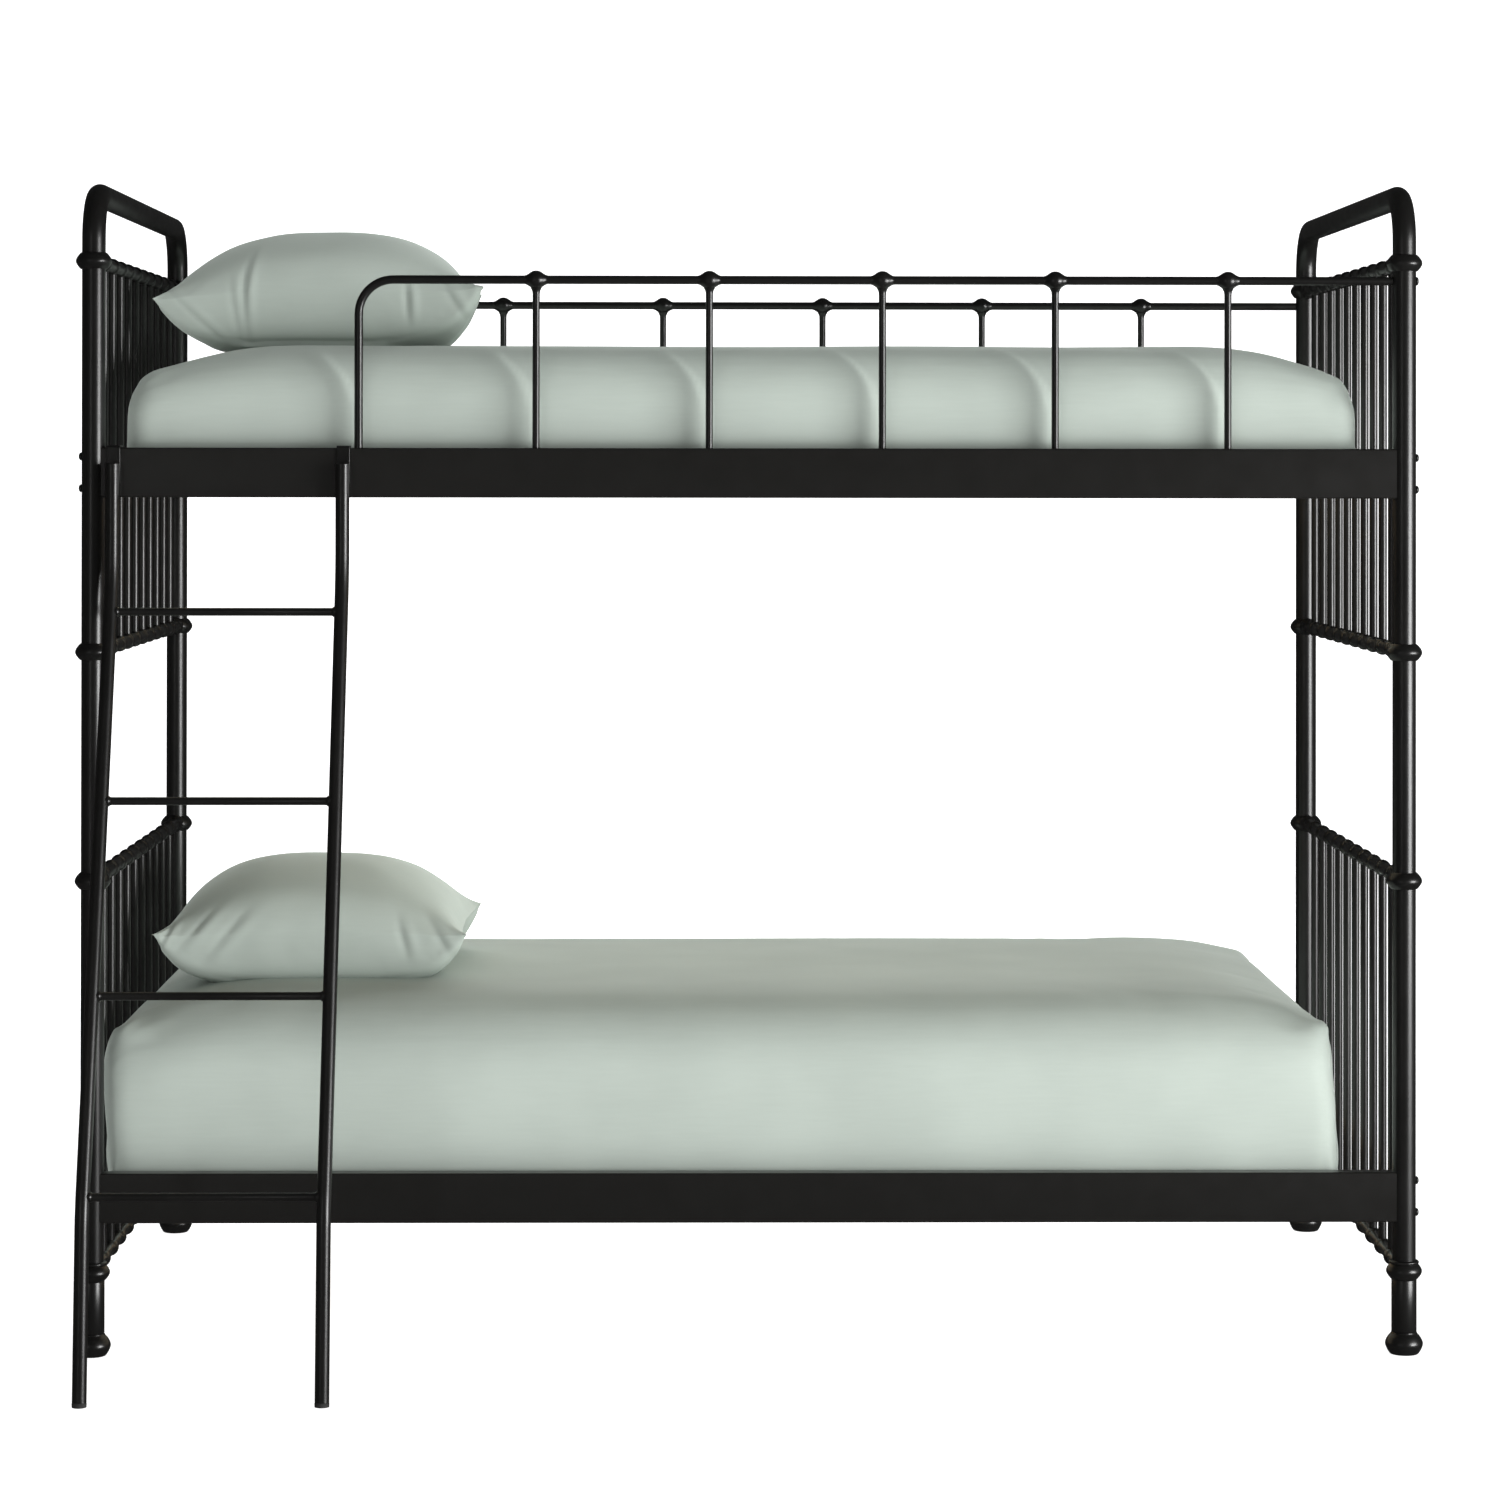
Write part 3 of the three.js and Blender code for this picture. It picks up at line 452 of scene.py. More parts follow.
def collar_profile():
    """A cast collar: a cone below, the belly just under the middle, a domed shoulder and a thin neck."""
    reach = COLLAR_HALF
    belly = POST_RADIUS + COLLAR_BULGE
    return smooth([
        (POST_RADIUS + 0.0012, -reach), (POST_RADIUS + 0.0026, -reach * 0.96), (belly - 0.0022, -reach * 0.52),
        (belly, -reach * 0.12), (belly - 0.0010, reach * 0.30), (belly - 0.0042, reach * 0.68),
        (POST_RADIUS + 0.0028, reach * 0.88), (POST_RADIUS + 0.0010, reach),
    ])


def step_profile():
    """The raised ring on top of each of the lowest collars."""
    return smooth([(POST_RADIUS + 0.0008, 0.010), (POST_RADIUS + 0.0042, 0.0112), (POST_RADIUS + 0.0044, 0.0145),
                   (POST_RADIUS + 0.0008, 0.0160)], 4)


def boss_profile():
    """The taper of an end rail where it leaves a collar, from the post outwards."""
    return smooth([(0.0150, POST_RADIUS), (0.0128, POST_RADIUS + 0.010), (END_RAIL_RADIUS, POST_RADIUS + 0.020)])


def knot_profile():
    """The swelling of an end rail round a spindle, from one side of it to the other."""
    return smooth([
        (END_RAIL_RADIUS, -0.0145), (END_RAIL_RADIUS + 0.0006, -0.0110), (0.0122, -0.0075), (0.0131, 0),
        (0.0122, 0.0075), (END_RAIL_RADIUS + 0.0006, 0.0110), (END_RAIL_RADIUS, 0.0145),
    ], 4)


def spindle_panel(level, end, sign):
    node = f"{level}_{end}_spindle_panel"
    low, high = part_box(node)
    x = sign * POST_X
    heights = (low[2] + COLLAR_HALF, high[2] - COLLAR_HALF)
    first, last = FRONT_Y + SPINDLE_END_GAP, BACK_Y - SPINDLE_END_GAP
    spindles = [first + (last - first) * i / (SPINDLE_COUNT - 1) for i in range(SPINDLE_COUNT)]
    shell = Shell()
    for z in heights:
        for y in (FRONT_Y, BACK_Y):
            shell.lathe(Vector((x, y, z)), Z_AXIS, collar_profile(), 40)
        rail = [(END_RAIL_RADIUS, FRONT_Y + POST_RADIUS)]
        for y in spindles:
            rail += [(radius, y + along) for radius, along in knot_profile()]
        rail.append((END_RAIL_RADIUS, BACK_Y - POST_RADIUS))
        shell.lathe(Vector((x, 0, z)), Y_AXIS, rail, 20)
        for y, inward in ((FRONT_Y, 1), (BACK_Y, -1)):
            shell.lathe(Vector((x, y, z)), Y_AXIS * inward, boss_profile(), 20)
    if level == "lower":
        for y in (FRONT_Y, BACK_Y):
            shell.lathe(Vector((x, y, heights[0])), Z_AXIS, step_profile(), 40)
    for y in spindles:
        shell.rod(Vector((x, y, heights[0])), Vector((x, y, heights[1])), SPINDLE_RADIUS, 18)
    shell.stand_for(node, IRON)


def leg(end, sign, side, y):
    node = f"{end}_{side}_leg_tube"
    low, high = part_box(node)
    thick = (high[0] - low[0]) / 2
    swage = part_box(f"lower_{end}_spindle_panel")[0][2]
    shell = Shell()
    shell.lathe(Vector((sign * POST_X, y, 0)), Z_AXIS, [
        (thick - 0.0006, low[2]), (thick, low[2] + 0.0010), (thick, swage - 0.0015),
        (thick - 0.0004, swage - 0.0006), (POST_RADIUS, swage), (POST_RADIUS, high[2]),
    ], 48)
    shell.stand_for(node, IRON)


def foot(end, sign, side, y):
    node = f"{end}_{side}_cast_foot"
    low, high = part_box(node)
    widest = (high[0] - low[0]) / 2
    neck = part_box(f"{end}_{side}_leg_tube")[0][2] - TOUCH_GAP
    bulb = smooth([
        (FOOT_BASE_RADIUS, 0.0), (FOOT_BASE_RADIUS + 0.0022, 0.0008), (widest - 0.0030, 0.0065),
        (widest - 0.0002, 0.0135), (widest - 0.0006, 0.0190), (widest - 0.0040, 0.0258),
        (widest - 0.0082, 0.0306), (FOOT_NECK_RADIUS, neck),
    ])
    spigot = POST_RADIUS - SPIGOT_SLACK
    shell = Shell()
    shell.lathe(Vector((sign * POST_X, y, 0)), Z_AXIS, [*bulb, (spigot, neck), (spigot, high[2])], 48)
    shell.stand_for(node, IRON)


def finish_pin(end, side):
    """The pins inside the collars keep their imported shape, and only take the steel."""
    node = frame["nodes"][f"{end}_{side}_coupling_pin"]
    node.material_slots[0].material = STEEL


# ---------------------------------------------------------------- side rails, bolts and slats


def rail_section(sign):
    """The outer and the inner line of the channel, in (y, z) from the rail's middle, web on the outside."""
    half = RAIL_HALF_HEIGHT
    web, lip = -RAIL_DEPTH / 2, RAIL_DEPTH / 2
    bend = [math.radians(90 * i / 5) for i in range(6)]
    flange = [lip - (lip - web - RAIL_CORNER) * i / 8 for i in range(9)]
    top_outer = [(y, half) for y in flange]
    top_inner = [(max(y, web + RAIL_WALL), half - RAIL_WALL) for y in flange]
    corner_y, corner_z = web + RAIL_CORNER, half - RAIL_CORNER
    corner_outer = [(corner_y - RAIL_CORNER * math.sin(a), corner_z + RAIL_CORNER * math.cos(a)) for a in bend[1:]]
    corner_inner = [(web + RAIL_WALL, half - RAIL_WALL)] * len(corner_outer)
    outer = top_outer + corner_outer
    inner = top_inner + corner_inner
    outer += [(y, -z) for y, z in reversed(outer)]
    inner += [(y, -z) for y, z in reversed(inner)]
    return [(-sign * y, z) for y, z in outer], [(-sign * y, z) for y, z in inner]


def side_rail(level, side, sign):
    node = f"{level}_{side}_side_rail"
    low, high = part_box(node)
    y0 = FRONT_Y if side == "front" else BACK_Y
    z0 = (low[2] + high[2]) / 2
    cope = POST_RADIUS + TOUCH_GAP

    def coped(end):
        return lambda y: end * (POST_X - math.sqrt(max(cope ** 2 - (y - y0) ** 2, 0)))

    def shifted(line):
        return [(y0 + y, z0 + z) for y, z in line]

    shell = Shell()
    outer, inner = rail_section(sign)
    shell.plate(shifted(outer), shifted(inner), coped(-1), coped(1))
    ledge = z0 + RAIL_HALF_HEIGHT - LEDGE_DROP
    web = y0 + sign * (RAIL_DEPTH / 2 - RAIL_WALL / 2)
    tip = y0 - sign * (RAIL_DEPTH / 2 + LEDGE_REACH)
    reach = POST_X - LEDGE_END_GAP
    shell.block((-reach, min(web, tip), ledge - RAIL_WALL), (reach, max(web, tip), ledge), LEDGE_BEVEL)
    face = sign * (RAIL_DEPTH / 2 - RAIL_WALL * 0.8)
    lip = -sign * RAIL_DEPTH / 2
    across = [face + (lip - face) * i / 8 for i in range(9)]
    depth = POST_RADIUS + RAIL_BLOCK_LENGTH
    block_top, block_bottom = (shifted([(y, z) for y in across])
                               for z in (RAIL_BLOCK_HALF_HEIGHT, -RAIL_BLOCK_HALF_HEIGHT))
    for end in (-1, 1):
        shell.plate(block_top, block_bottom, coped(end), lambda y, end=end: end * (POST_X - depth))
    shell.stand_for(node, IRON)


def bolt(node, head_height):
    """A domed bolt along X, its head on the side away from the bed's middle."""
    low, high = (Vector(corner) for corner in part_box(node))
    centre = (low + high) / 2
    head = (high.y - low.y) / 2
    sign = 1 if centre.x > 0 else -1
    tip = Vector((high.x if sign > 0 else low.x, centre.y, centre.z))
    shank = BOLT_SHANK_SHARE * head
    length = high.x - low.x
    dome = smooth([(head, head_height), (head * 0.97, head_height * 0.62), (head * 0.80, head_height * 0.26),
                   (head * 0.50, 0.0003), (head * 0.40, 0)], 4)
    socket = [(head * 0.36, 0.0001), (head * 0.34, head_height * 0.5), (0, head_height * 0.5)]
    profile = [*reversed(socket), *reversed(dome), (shank, head_height), (shank, length - BOLT_TIP_CHAMFER),
               (shank - BOLT_TIP_CHAMFER, length)]
    shell = Shell()
    shell.lathe(tip, X_AXIS * -sign, profile, 24)
    shell.stand_for(node, STEEL)


def slat_base(level):
    node = f"{level}_slat_base"
    low, high = (Vector(corner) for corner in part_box(node))
    pitch = (high.x - low.x - SLAT_WIDTH) / (SLAT_COUNT - 1)
    shell = Shell()
    for i in range(SLAT_COUNT):
        x = low.x + i * pitch
        shell.block((x, low.y, high.z - SLAT_THICKNESS), (x + SLAT_WIDTH, high.y, high.z), SLAT_BEVEL)
    shell.stand_for(node, PINE)
    start, end = low.x + SLAT_WIDTH / 2, high.x - SLAT_WIDTH / 2
    top = high.z - SLAT_THICKNESS - TAPE_GAP
    for side, y in (("front", low.y + TAPE_INSET), ("back", high.y - TAPE_INSET)):
        tape = Shell()
        tape.block((start, y - TAPE_WIDTH / 2, top - TAPE_THICKNESS), (end, y + TAPE_WIDTH / 2, top), TAPE_BEVEL)
        made = tape.object(f"{level}_slat_tape_{side}", TAPE)
        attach(made, BODY_OF[node])


# ---------------------------------------------------------------- guard rails


def guard_knot_profile():
    """A ball with a cone to each side, on the guard rod."""
    ball = GUARD_KNOT_RADIUS
    half = [(GUARD_RADIUS + 0.0002, 0.0172), (GUARD_RADIUS + 0.0010, 0.0145), (GUARD_RADIUS + 0.0030, 0.0112),
            (ball - 0.0018, 0.0072), (ball - 0.0003, 0.0034)]
    return smooth([*[(r, -h) for r, h in half], (ball, 0), *reversed(half)], 4)


def baluster_neck():
    """The flare at the top of a baluster, where it meets its knot."""
    return smooth([(BALUSTER_RADIUS, -0.022), (BALUSTER_RADIUS + 0.0006, -0.017),
                   (BALUSTER_RADIUS + 0.0030, -0.012)], 4)


def front_baluster_xs(start):
    pitch = (POST_X - start - 2 * FRONT_BAY_EXTRA) / (FRONT_BALUSTERS + 1)
    return [start + FRONT_BAY_EXTRA + (i + 1) * pitch for i in range(FRONT_BALUSTERS)]


def back_baluster_xs():
    pitch = 2 * (POST_X - BACK_BAY_EXTRA) / (BACK_BALUSTERS + 1)
    return [-POST_X + BACK_BAY_EXTRA + (i + 1) * pitch for i in range(BACK_BALUSTERS)]


def guard_rail(side):
    node = f"{side}_guard_rail"
    low, high = (Vector(corner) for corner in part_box(node))
    y, z = (low.y + high.y) / 2, high.z - GUARD_KNOT_RADIUS
    shell = Shell()
    if side == "front":
        start = low.x + GUARD_RADIUS
        corners = [Vector((start, y, low.z)), Vector((start, y, z)), Vector((high.x, y, z))]
        shell.sweep(bent_path(corners, GUARD_BEND_RADIUS, 14), GUARD_RADIUS, Y_AXIS, 28)
        balusters = front_baluster_xs(start)
    else:
        shell.rod(Vector((low.x, y, z)), Vector((high.x, y, z)), GUARD_RADIUS, 28)
        balusters = back_baluster_xs()
    for x in balusters:
        shell.lathe(Vector((x, y, z)), X_AXIS, guard_knot_profile(), 28)
        baluster = [(BALUSTER_RADIUS, low.z - z), *baluster_neck(), (BALUSTER_RADIUS, 0)]
        shell.lathe(Vector((x, y, z)), Z_AXIS, baluster, 22)
    shell.stand_for(node, IRON)


# ---------------------------------------------------------------- ladder


def ladder_corners(end):
    """The corners of a side tube's centre line, from its top down."""
    low, high = (Vector(corner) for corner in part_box(f"ladder_{end}_side"))
    x = (low.x + high.x) / 2
    knee_y = high.y - LADDER_RADIUS
    knee_z = UPPER_RAIL_TOP - LADDER_KNEE_DROP
    ankle_y = knee_y - LADDER_LEAN * (knee_z - LADDER_ANKLE_Z)
    return [Vector((x, knee_y, high.z)), Vector((x, knee_y, knee_z)), Vector((x, ankle_y, LADDER_ANKLE_Z)),
            Vector((x, low.y + LADDER_RADIUS, low.z))]


def ladder_side(end):
    """A bent side tube, with its open mouth at the top."""
    node = f"ladder_{end}_side"
    stations = bent_path(ladder_corners(end), LADDER_BEND_RADIUS, 12)
    bore = LADDER_RADIUS - LADDER_WALL
    top, down = stations[0]
    rim = [(bore, TUBE_MOUTH_DEPTH), (bore, 0.0006), (bore + 0.0005, 0), (LADDER_RADIUS - 0.0005, 0),
           (LADDER_RADIUS, 0.0006)]
    turns = [2 * math.pi * i / 32 for i in range(32)]

    def ring(point, ahead, radius):
        return [point + (X_AXIS * math.cos(a) + X_AXIS.cross(ahead) * math.sin(a)) * radius for a in turns]

    rings = [ring(top + down * along, down, radius) for radius, along in rim]
    rings += [ring(point, ahead, LADDER_RADIUS) for point, ahead in stations[1:]]
    shell = Shell()
    shell.loft(rings)
    shell.stand_for(node, IRON)


def ladder_hook(end):
    """A strap bent over the rail, with round bends."""
    node = f"ladder_{end}_hook"
    low, high = (Vector(corner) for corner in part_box(node))
    front, back, top = low.y, high.y, high.z
    tail = UPPER_RAIL_TOP - HOOK_TAIL_DROP
    bend = [math.radians(90 * i / 6) for i in range(7)]

    def line(offset, radius):
        y0, y1, z1 = front + offset, back - offset, top - offset
        first = [(y0 + radius - radius * math.cos(a), z1 - radius + radius * math.sin(a)) for a in bend]
        second = [(y1 - radius + radius * math.sin(a), z1 - radius + radius * math.cos(a)) for a in bend]
        return [(y0, low.z), *first, *second, (y1, tail)]

    outer = line(0, HOOK_BEND_RADIUS + HOOK_THICKNESS)
    inner = line(HOOK_THICKNESS, HOOK_BEND_RADIUS)
    shell = Shell()
    shell.plate(outer, inner, lambda y: low.x, lambda y: high.x)
    made = shell.stand_for(node, IRON)
    edges = made.modifiers.new("rolled_edges", "BEVEL")
    edges.width = HOOK_BEVEL
    edges.segments = 2


def ladder_rung(number):
    """A round rung with a weld fillet at each end."""
    node = f"ladder_rung_{number}"
    centre = middle(node)
    left, right = middle("ladder_left_side").x, middle("ladder_right_side").x
    weld = LADDER_RADIUS + 0.0002
    length = right - left
    near = smooth([(RUNG_RADIUS + 0.0022, weld - 0.004), (RUNG_RADIUS + 0.0020, weld),
                   (RUNG_RADIUS + 0.0008, weld + 0.0018), (RUNG_RADIUS, weld + 0.0034)], 4)
    far = [(r, length - along) for r, along in reversed(near)]
    shell = Shell()
    shell.lathe(Vector((left, centre.y, centre.z)), X_AXIS, [*near, *far], 24)
    shell.stand_for(node, IRON)


def ladder_plug(end):
    """A rubber tip on the tube's end, cut level with the floor."""
    node = f"ladder_{end}_foot_plug"
    corners = ladder_corners(end)
    axis = (corners[-1] - corners[-2]).normalized()
    shell = Shell()
    tip = smooth([
        (LADDER_RADIUS - 0.0003, 0.0002), (LADDER_RADIUS + 0.0002, 0.0006), (LADDER_RADIUS + 0.0002, 0.003),
        (LADDER_RADIUS - 0.0002, 0.012), (LADDER_RADIUS - 0.0002, 0.02)], 3)
    shell.lathe(corners[-1], axis, tip, 32)
    bmesh.ops.bisect_plane(shell.bm, geom=[*shell.bm.verts, *shell.bm.edges, *shell.bm.faces], dist=1e-6,
                           plane_co=(0, 0, 0), plane_no=(0, 0, -1), clear_outer=True)
    rim = [edge for edge in shell.bm.edges if edge.is_boundary]
    bmesh.ops.contextual_create(shell.bm, geom=rim)
    shell.stand_for(node, RUBBER)


# ---------------------------------------------------------------- bedding

MATTRESS_VOXEL = 0.013
MATTRESS_SWELL = 0.007
MATTRESS_PLAN_RADIUS = 0.038
MATTRESS_FOOT_RADIUS = 0.012
END_INSET_SHARE = 0.45
DROOP_REACH = 0.26
LEAN_REACH = 0.20
EAR_INSET = 0.020
EAR_RISE = 0.865
EAR_PUSH = (0.016, 0.010, 0.018)
BACK_EAR_SHARE = 0.15
WAIST_RISE = 0.62
WAIST_PULL = (0.005, 0.006)
GATHER_HEIGHT = 0.0024
WAVE_HEIGHT = 0.0016
SIDE_WAVE_DEPTH = 0.003
CREASE_DEPTH = 0.0065
CREASE_OFFSET = 0.007
CREASE_BEND = 6
CREASE_BEND_HEIGHT = 0.105
PILLOW_GRID = 84
PILLOW_SWELL = 0.010
PILLOW_WAIST = 0.035
PILLOW_SEAM_SHARE = 0.43
PILLOW_ROUGHNESS = 0.0012
UNDERSIDE_FLATNESS = 2.2
UNDERSIDE_EDGE = 3.4
# The folds on a pillow's front: place across from -1 to 1, lean, bow, width, depth, height and half length.
UPPER_PILLOW_FOLDS = [
    (-0.484, 0.03, 0.22, 0.034, 0.0030, 0.46, 0.32),
    (-0.545, -0.12, 0.0, 0.034, 0.0018, 0.32, 0.22),
    (-0.780, -0.82, 0.0, 0.045, 0.0018, 0.26, 0.18),
    (0.545, -0.05, 0.0, 0.034, 0.0030, 0.40, 0.14),
    (0.850, -0.50, 0.0, 0.045, 0.0016, 0.38, 0.16),
]
LOWER_PILLOW_FOLDS = [
    (-0.900, 0.40, 0.0, 0.030, 0.0016, 0.46, 0.13),
    (-0.700, 0.65, 0.0, 0.050, 0.0018, 0.52, 0.16),
    (-0.520, 0.62, 0.0, 0.065, 0.0020, 0.46, 0.18),
    (0.590, -0.20, 0.0, 0.045, 0.0020, 0.45, 0.14),
    (0.820, -0.45, 0.0, 0.050, 0.0016, 0.45, 0.15),
]


def settle(obj):
    """Applies the object's modifiers to its mesh."""
    graph = bpy.context.evaluated_depsgraph_get()
    mesh = bpy.data.meshes.new_from_object(obj.evaluated_get(graph))
    obj.modifiers.clear()
    obj.data = mesh


def inflate(obj, pressure, frames, cap, stiffness, bending, pinned):
    """Blows the mesh up as cloth, with no point moving further than cap, and applies the result."""
    start = [vertex.co.copy() for vertex in obj.data.vertices]
    cloth = obj.modifiers.new("cloth", "CLOTH")
    settings = cloth.settings
    settings.quality = 5
    settings.mass = 0.3
    settings.tension_stiffness = stiffness
    settings.compression_stiffness = stiffness
    settings.shear_stiffness = stiffness / 2
    settings.bending_stiffness = bending
    settings.use_pressure = True
    settings.uniform_pressure_force = pressure
    settings.effector_weights.gravity = 0
    group = obj.vertex_groups.new(name="held")
    group.add([i for i, point in enumerate(start) if pinned(point)], 1.0, "REPLACE")
    settings.vertex_group_mass = "held"
    cloth.point_cache.frame_start = 1
    cloth.point_cache.frame_end = frames
    for number in range(1, frames + 1):
        bpy.context.scene.frame_set(number)
    settle(obj)
    bpy.context.scene.frame_set(1)
    for vertex, before in zip(obj.data.vertices, start):
        step = vertex.co - before
        if step.length > cap:
            vertex.co = before + step.normalized() * cap


def soften(piece):
    """Divides every face once and rounds the result."""
    finer = piece.modifiers.new("finer", "SUBSURF")
    finer.levels = 1
    finer.render_levels = 1
    settle(piece)


def stand_soft(piece, node):
    """Puts a finished soft piece in place of its CAD node."""
    piece.data.update()
    piece.data.shade_smooth()
    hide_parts(node)
    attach(piece, BODY_OF[node])


def rounded_outline(half_x, half_y, radius, steps=8):
    """The corners of a rounded rectangle about the origin."""
    points = []
    for quarter, (sx, sy) in enumerate(((1, 1), (-1, 1), (-1, -1), (1, -1))):
        for step in range(steps + 1):
            turn = math.radians(90 * (quarter + step / steps))
            points.append((sx * (half_x - radius) + radius * math.cos(turn),
                           sy * (half_y - radius) + radius * math.sin(turn)))
    return points


def falloff(distance, width):
    """1 at no distance, about a third at one width, and near 0 beyond two."""
    return math.exp(-(distance / width) ** 2)


def fitted_sheet(level, centre, half_x, half_y, low_z, top, edge):
    """The outline of a mattress as an even mesh, with round edges and corners, before it is blown up."""
    foot = MATTRESS_FOOT_RADIUS
    profile = [(foot * (1 - math.sin(a)), low_z + foot * (1 - math.cos(a)))
               for a in (math.radians(90 * i / 3) for i in range(4))]
    profile += [(edge * (1 - math.cos(a)), top - edge * (1 - math.sin(a)))
                for a in (math.radians(90 * i / 8) for i in range(9))]
    rings = []
    for inset, z in profile:
        radius = max(MATTRESS_PLAN_RADIUS - inset * 0.6, 0.010)
        outline = rounded_outline(half_x - inset * END_INSET_SHARE, half_y - inset, radius)
        rings.append([(centre.x + x, centre.y + y, z) for x, y in outline])
    shell = Shell()
    shell.loft(rings)
    piece = shell.object(f"{level}_mattress_sheeted", SHEET)
    remesh = piece.modifiers.new("remesh", "REMESH")
    remesh.mode = "VOXEL"
    remesh.voxel_size = MATTRESS_VOXEL
    settle(piece)
    return piece


def crease(point, top, x):
    """From 0 to 1, how deep a point lies in the crease by an upright at x, soft on its left and sharp on its right."""
    climb = max(point.z - (top - CREASE_BEND_HEIGHT), 0)
    across = point.x - (x - CREASE_OFFSET - CREASE_BEND * climb ** 2)
    return falloff(across, 0.026) if across < 0 else falloff(across, 0.006)


def mattress(level, edge, droops, growth, lean=0, uprights=()):
    """A mattress in a fitted sheet: blown up as cloth, slack over its ends, pinched at its four corners.

    edge is the radius of its top edges, droops how far its left and right end sag, growth how far it outgrows the
    packed box to the side, front and top, lean how far its left end leans out, and uprights where posts crease it.
    """
    node = f"{level}_mattress"
    low, high = (Vector(corner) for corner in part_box(node))
    centre = (low + high) / 2
    half_x = (high.x - low.x) / 2 + growth[0]
    half_y = (high.y - low.y) / 2 + growth[1]
    top = high.z + growth[2]
    piece = fitted_sheet(level, centre, half_x, half_y, low.z, top, edge)
    for vertex in piece.data.vertices:
        rise = max((vertex.co.z - low.z) / (top - low.z), 0)
        from_end = half_x - abs(vertex.co.x - centre.x)
        droop = droops[0] if vertex.co.x < centre.x else droops[1]
        vertex.co.z -= droop * max(1 - from_end / DROOP_REACH, 0) ** 2 * rise ** 2
        if vertex.co.x < centre.x:
            vertex.co.x -= lean * rise * falloff(from_end, LEAN_REACH)
    inflate(piece, pressure=3.0, frames=20, cap=MATTRESS_SWELL, stiffness=20, bending=2,
            pinned=lambda p: p.z < low.z + 0.006)
    soften(piece)
    corners = [(sx, sy, Vector((centre.x + sx * (half_x - EAR_INSET), centre.y + sy * (half_y - EAR_INSET), 0)))
               for sx in (-1, 1) for sy in (-1, 1)]
    for vertex in piece.data.vertices:
        point = vertex.co
        rise = (point.z - low.z) / (top - low.z)
        for sx, sy, corner in corners:
            away = math.hypot(point.x - corner.x, point.y - corner.y)
            if away > 0.30:
                continue
            ear = falloff(away, 0.034) * falloff(rise - EAR_RISE, 0.06) * (1 if sy < 0 else BACK_EAR_SHARE)
            point += Vector((sx * EAR_PUSH[0], sy * EAR_PUSH[1], EAR_PUSH[2])) * ear
            waist = falloff(away, 0.045) * falloff(rise - WAIST_RISE, 0.14)
            point -= Vector((sx * WAIST_PULL[0], sy * WAIST_PULL[1], 0)) * waist
            along = math.atan2(abs(point.y - corner.y), abs(point.x - corner.x))
            gather = falloff(away, 0.12) * (1 - falloff(away, 0.03)) * max(rise - 0.2, 0)
            point.z += GATHER_HEIGHT * gather * math.sin(9 * along + 2 * sx + sy)
        waves = noise.noise(Vector((point.x * 3.1, point.y * 4.3, point.z * 5 + 7 * len(level) + low.z)))
        point.z += WAVE_HEIGHT * waves * rise
        if point.y < centre.y:
            side = noise.noise(Vector((point.x * 4.0, 3.7, point.z * 9 + low.z)))
            point.y += SIDE_WAVE_DEPTH * side * falloff(point.y - low.y, 0.05) * min(rise * 2, 1)
            for x in uprights:
                point.y -= CREASE_DEPTH * crease(point, top, x) * falloff(point.y - low.y, 0.09)
        point.z = max(point.z, low.z)
    stand_soft(piece, node)


def between(corners, u, v):
    """The value at (u, v), each from -1 to 1, from those at the front left and right, then the back ones."""
    front = corners[0] * (1 - u) + corners[1] * (1 + u)
    back = corners[2] * (1 - u) + corners[3] * (1 + u)
    return (front * (1 - v) + back * (1 + v)) / 4


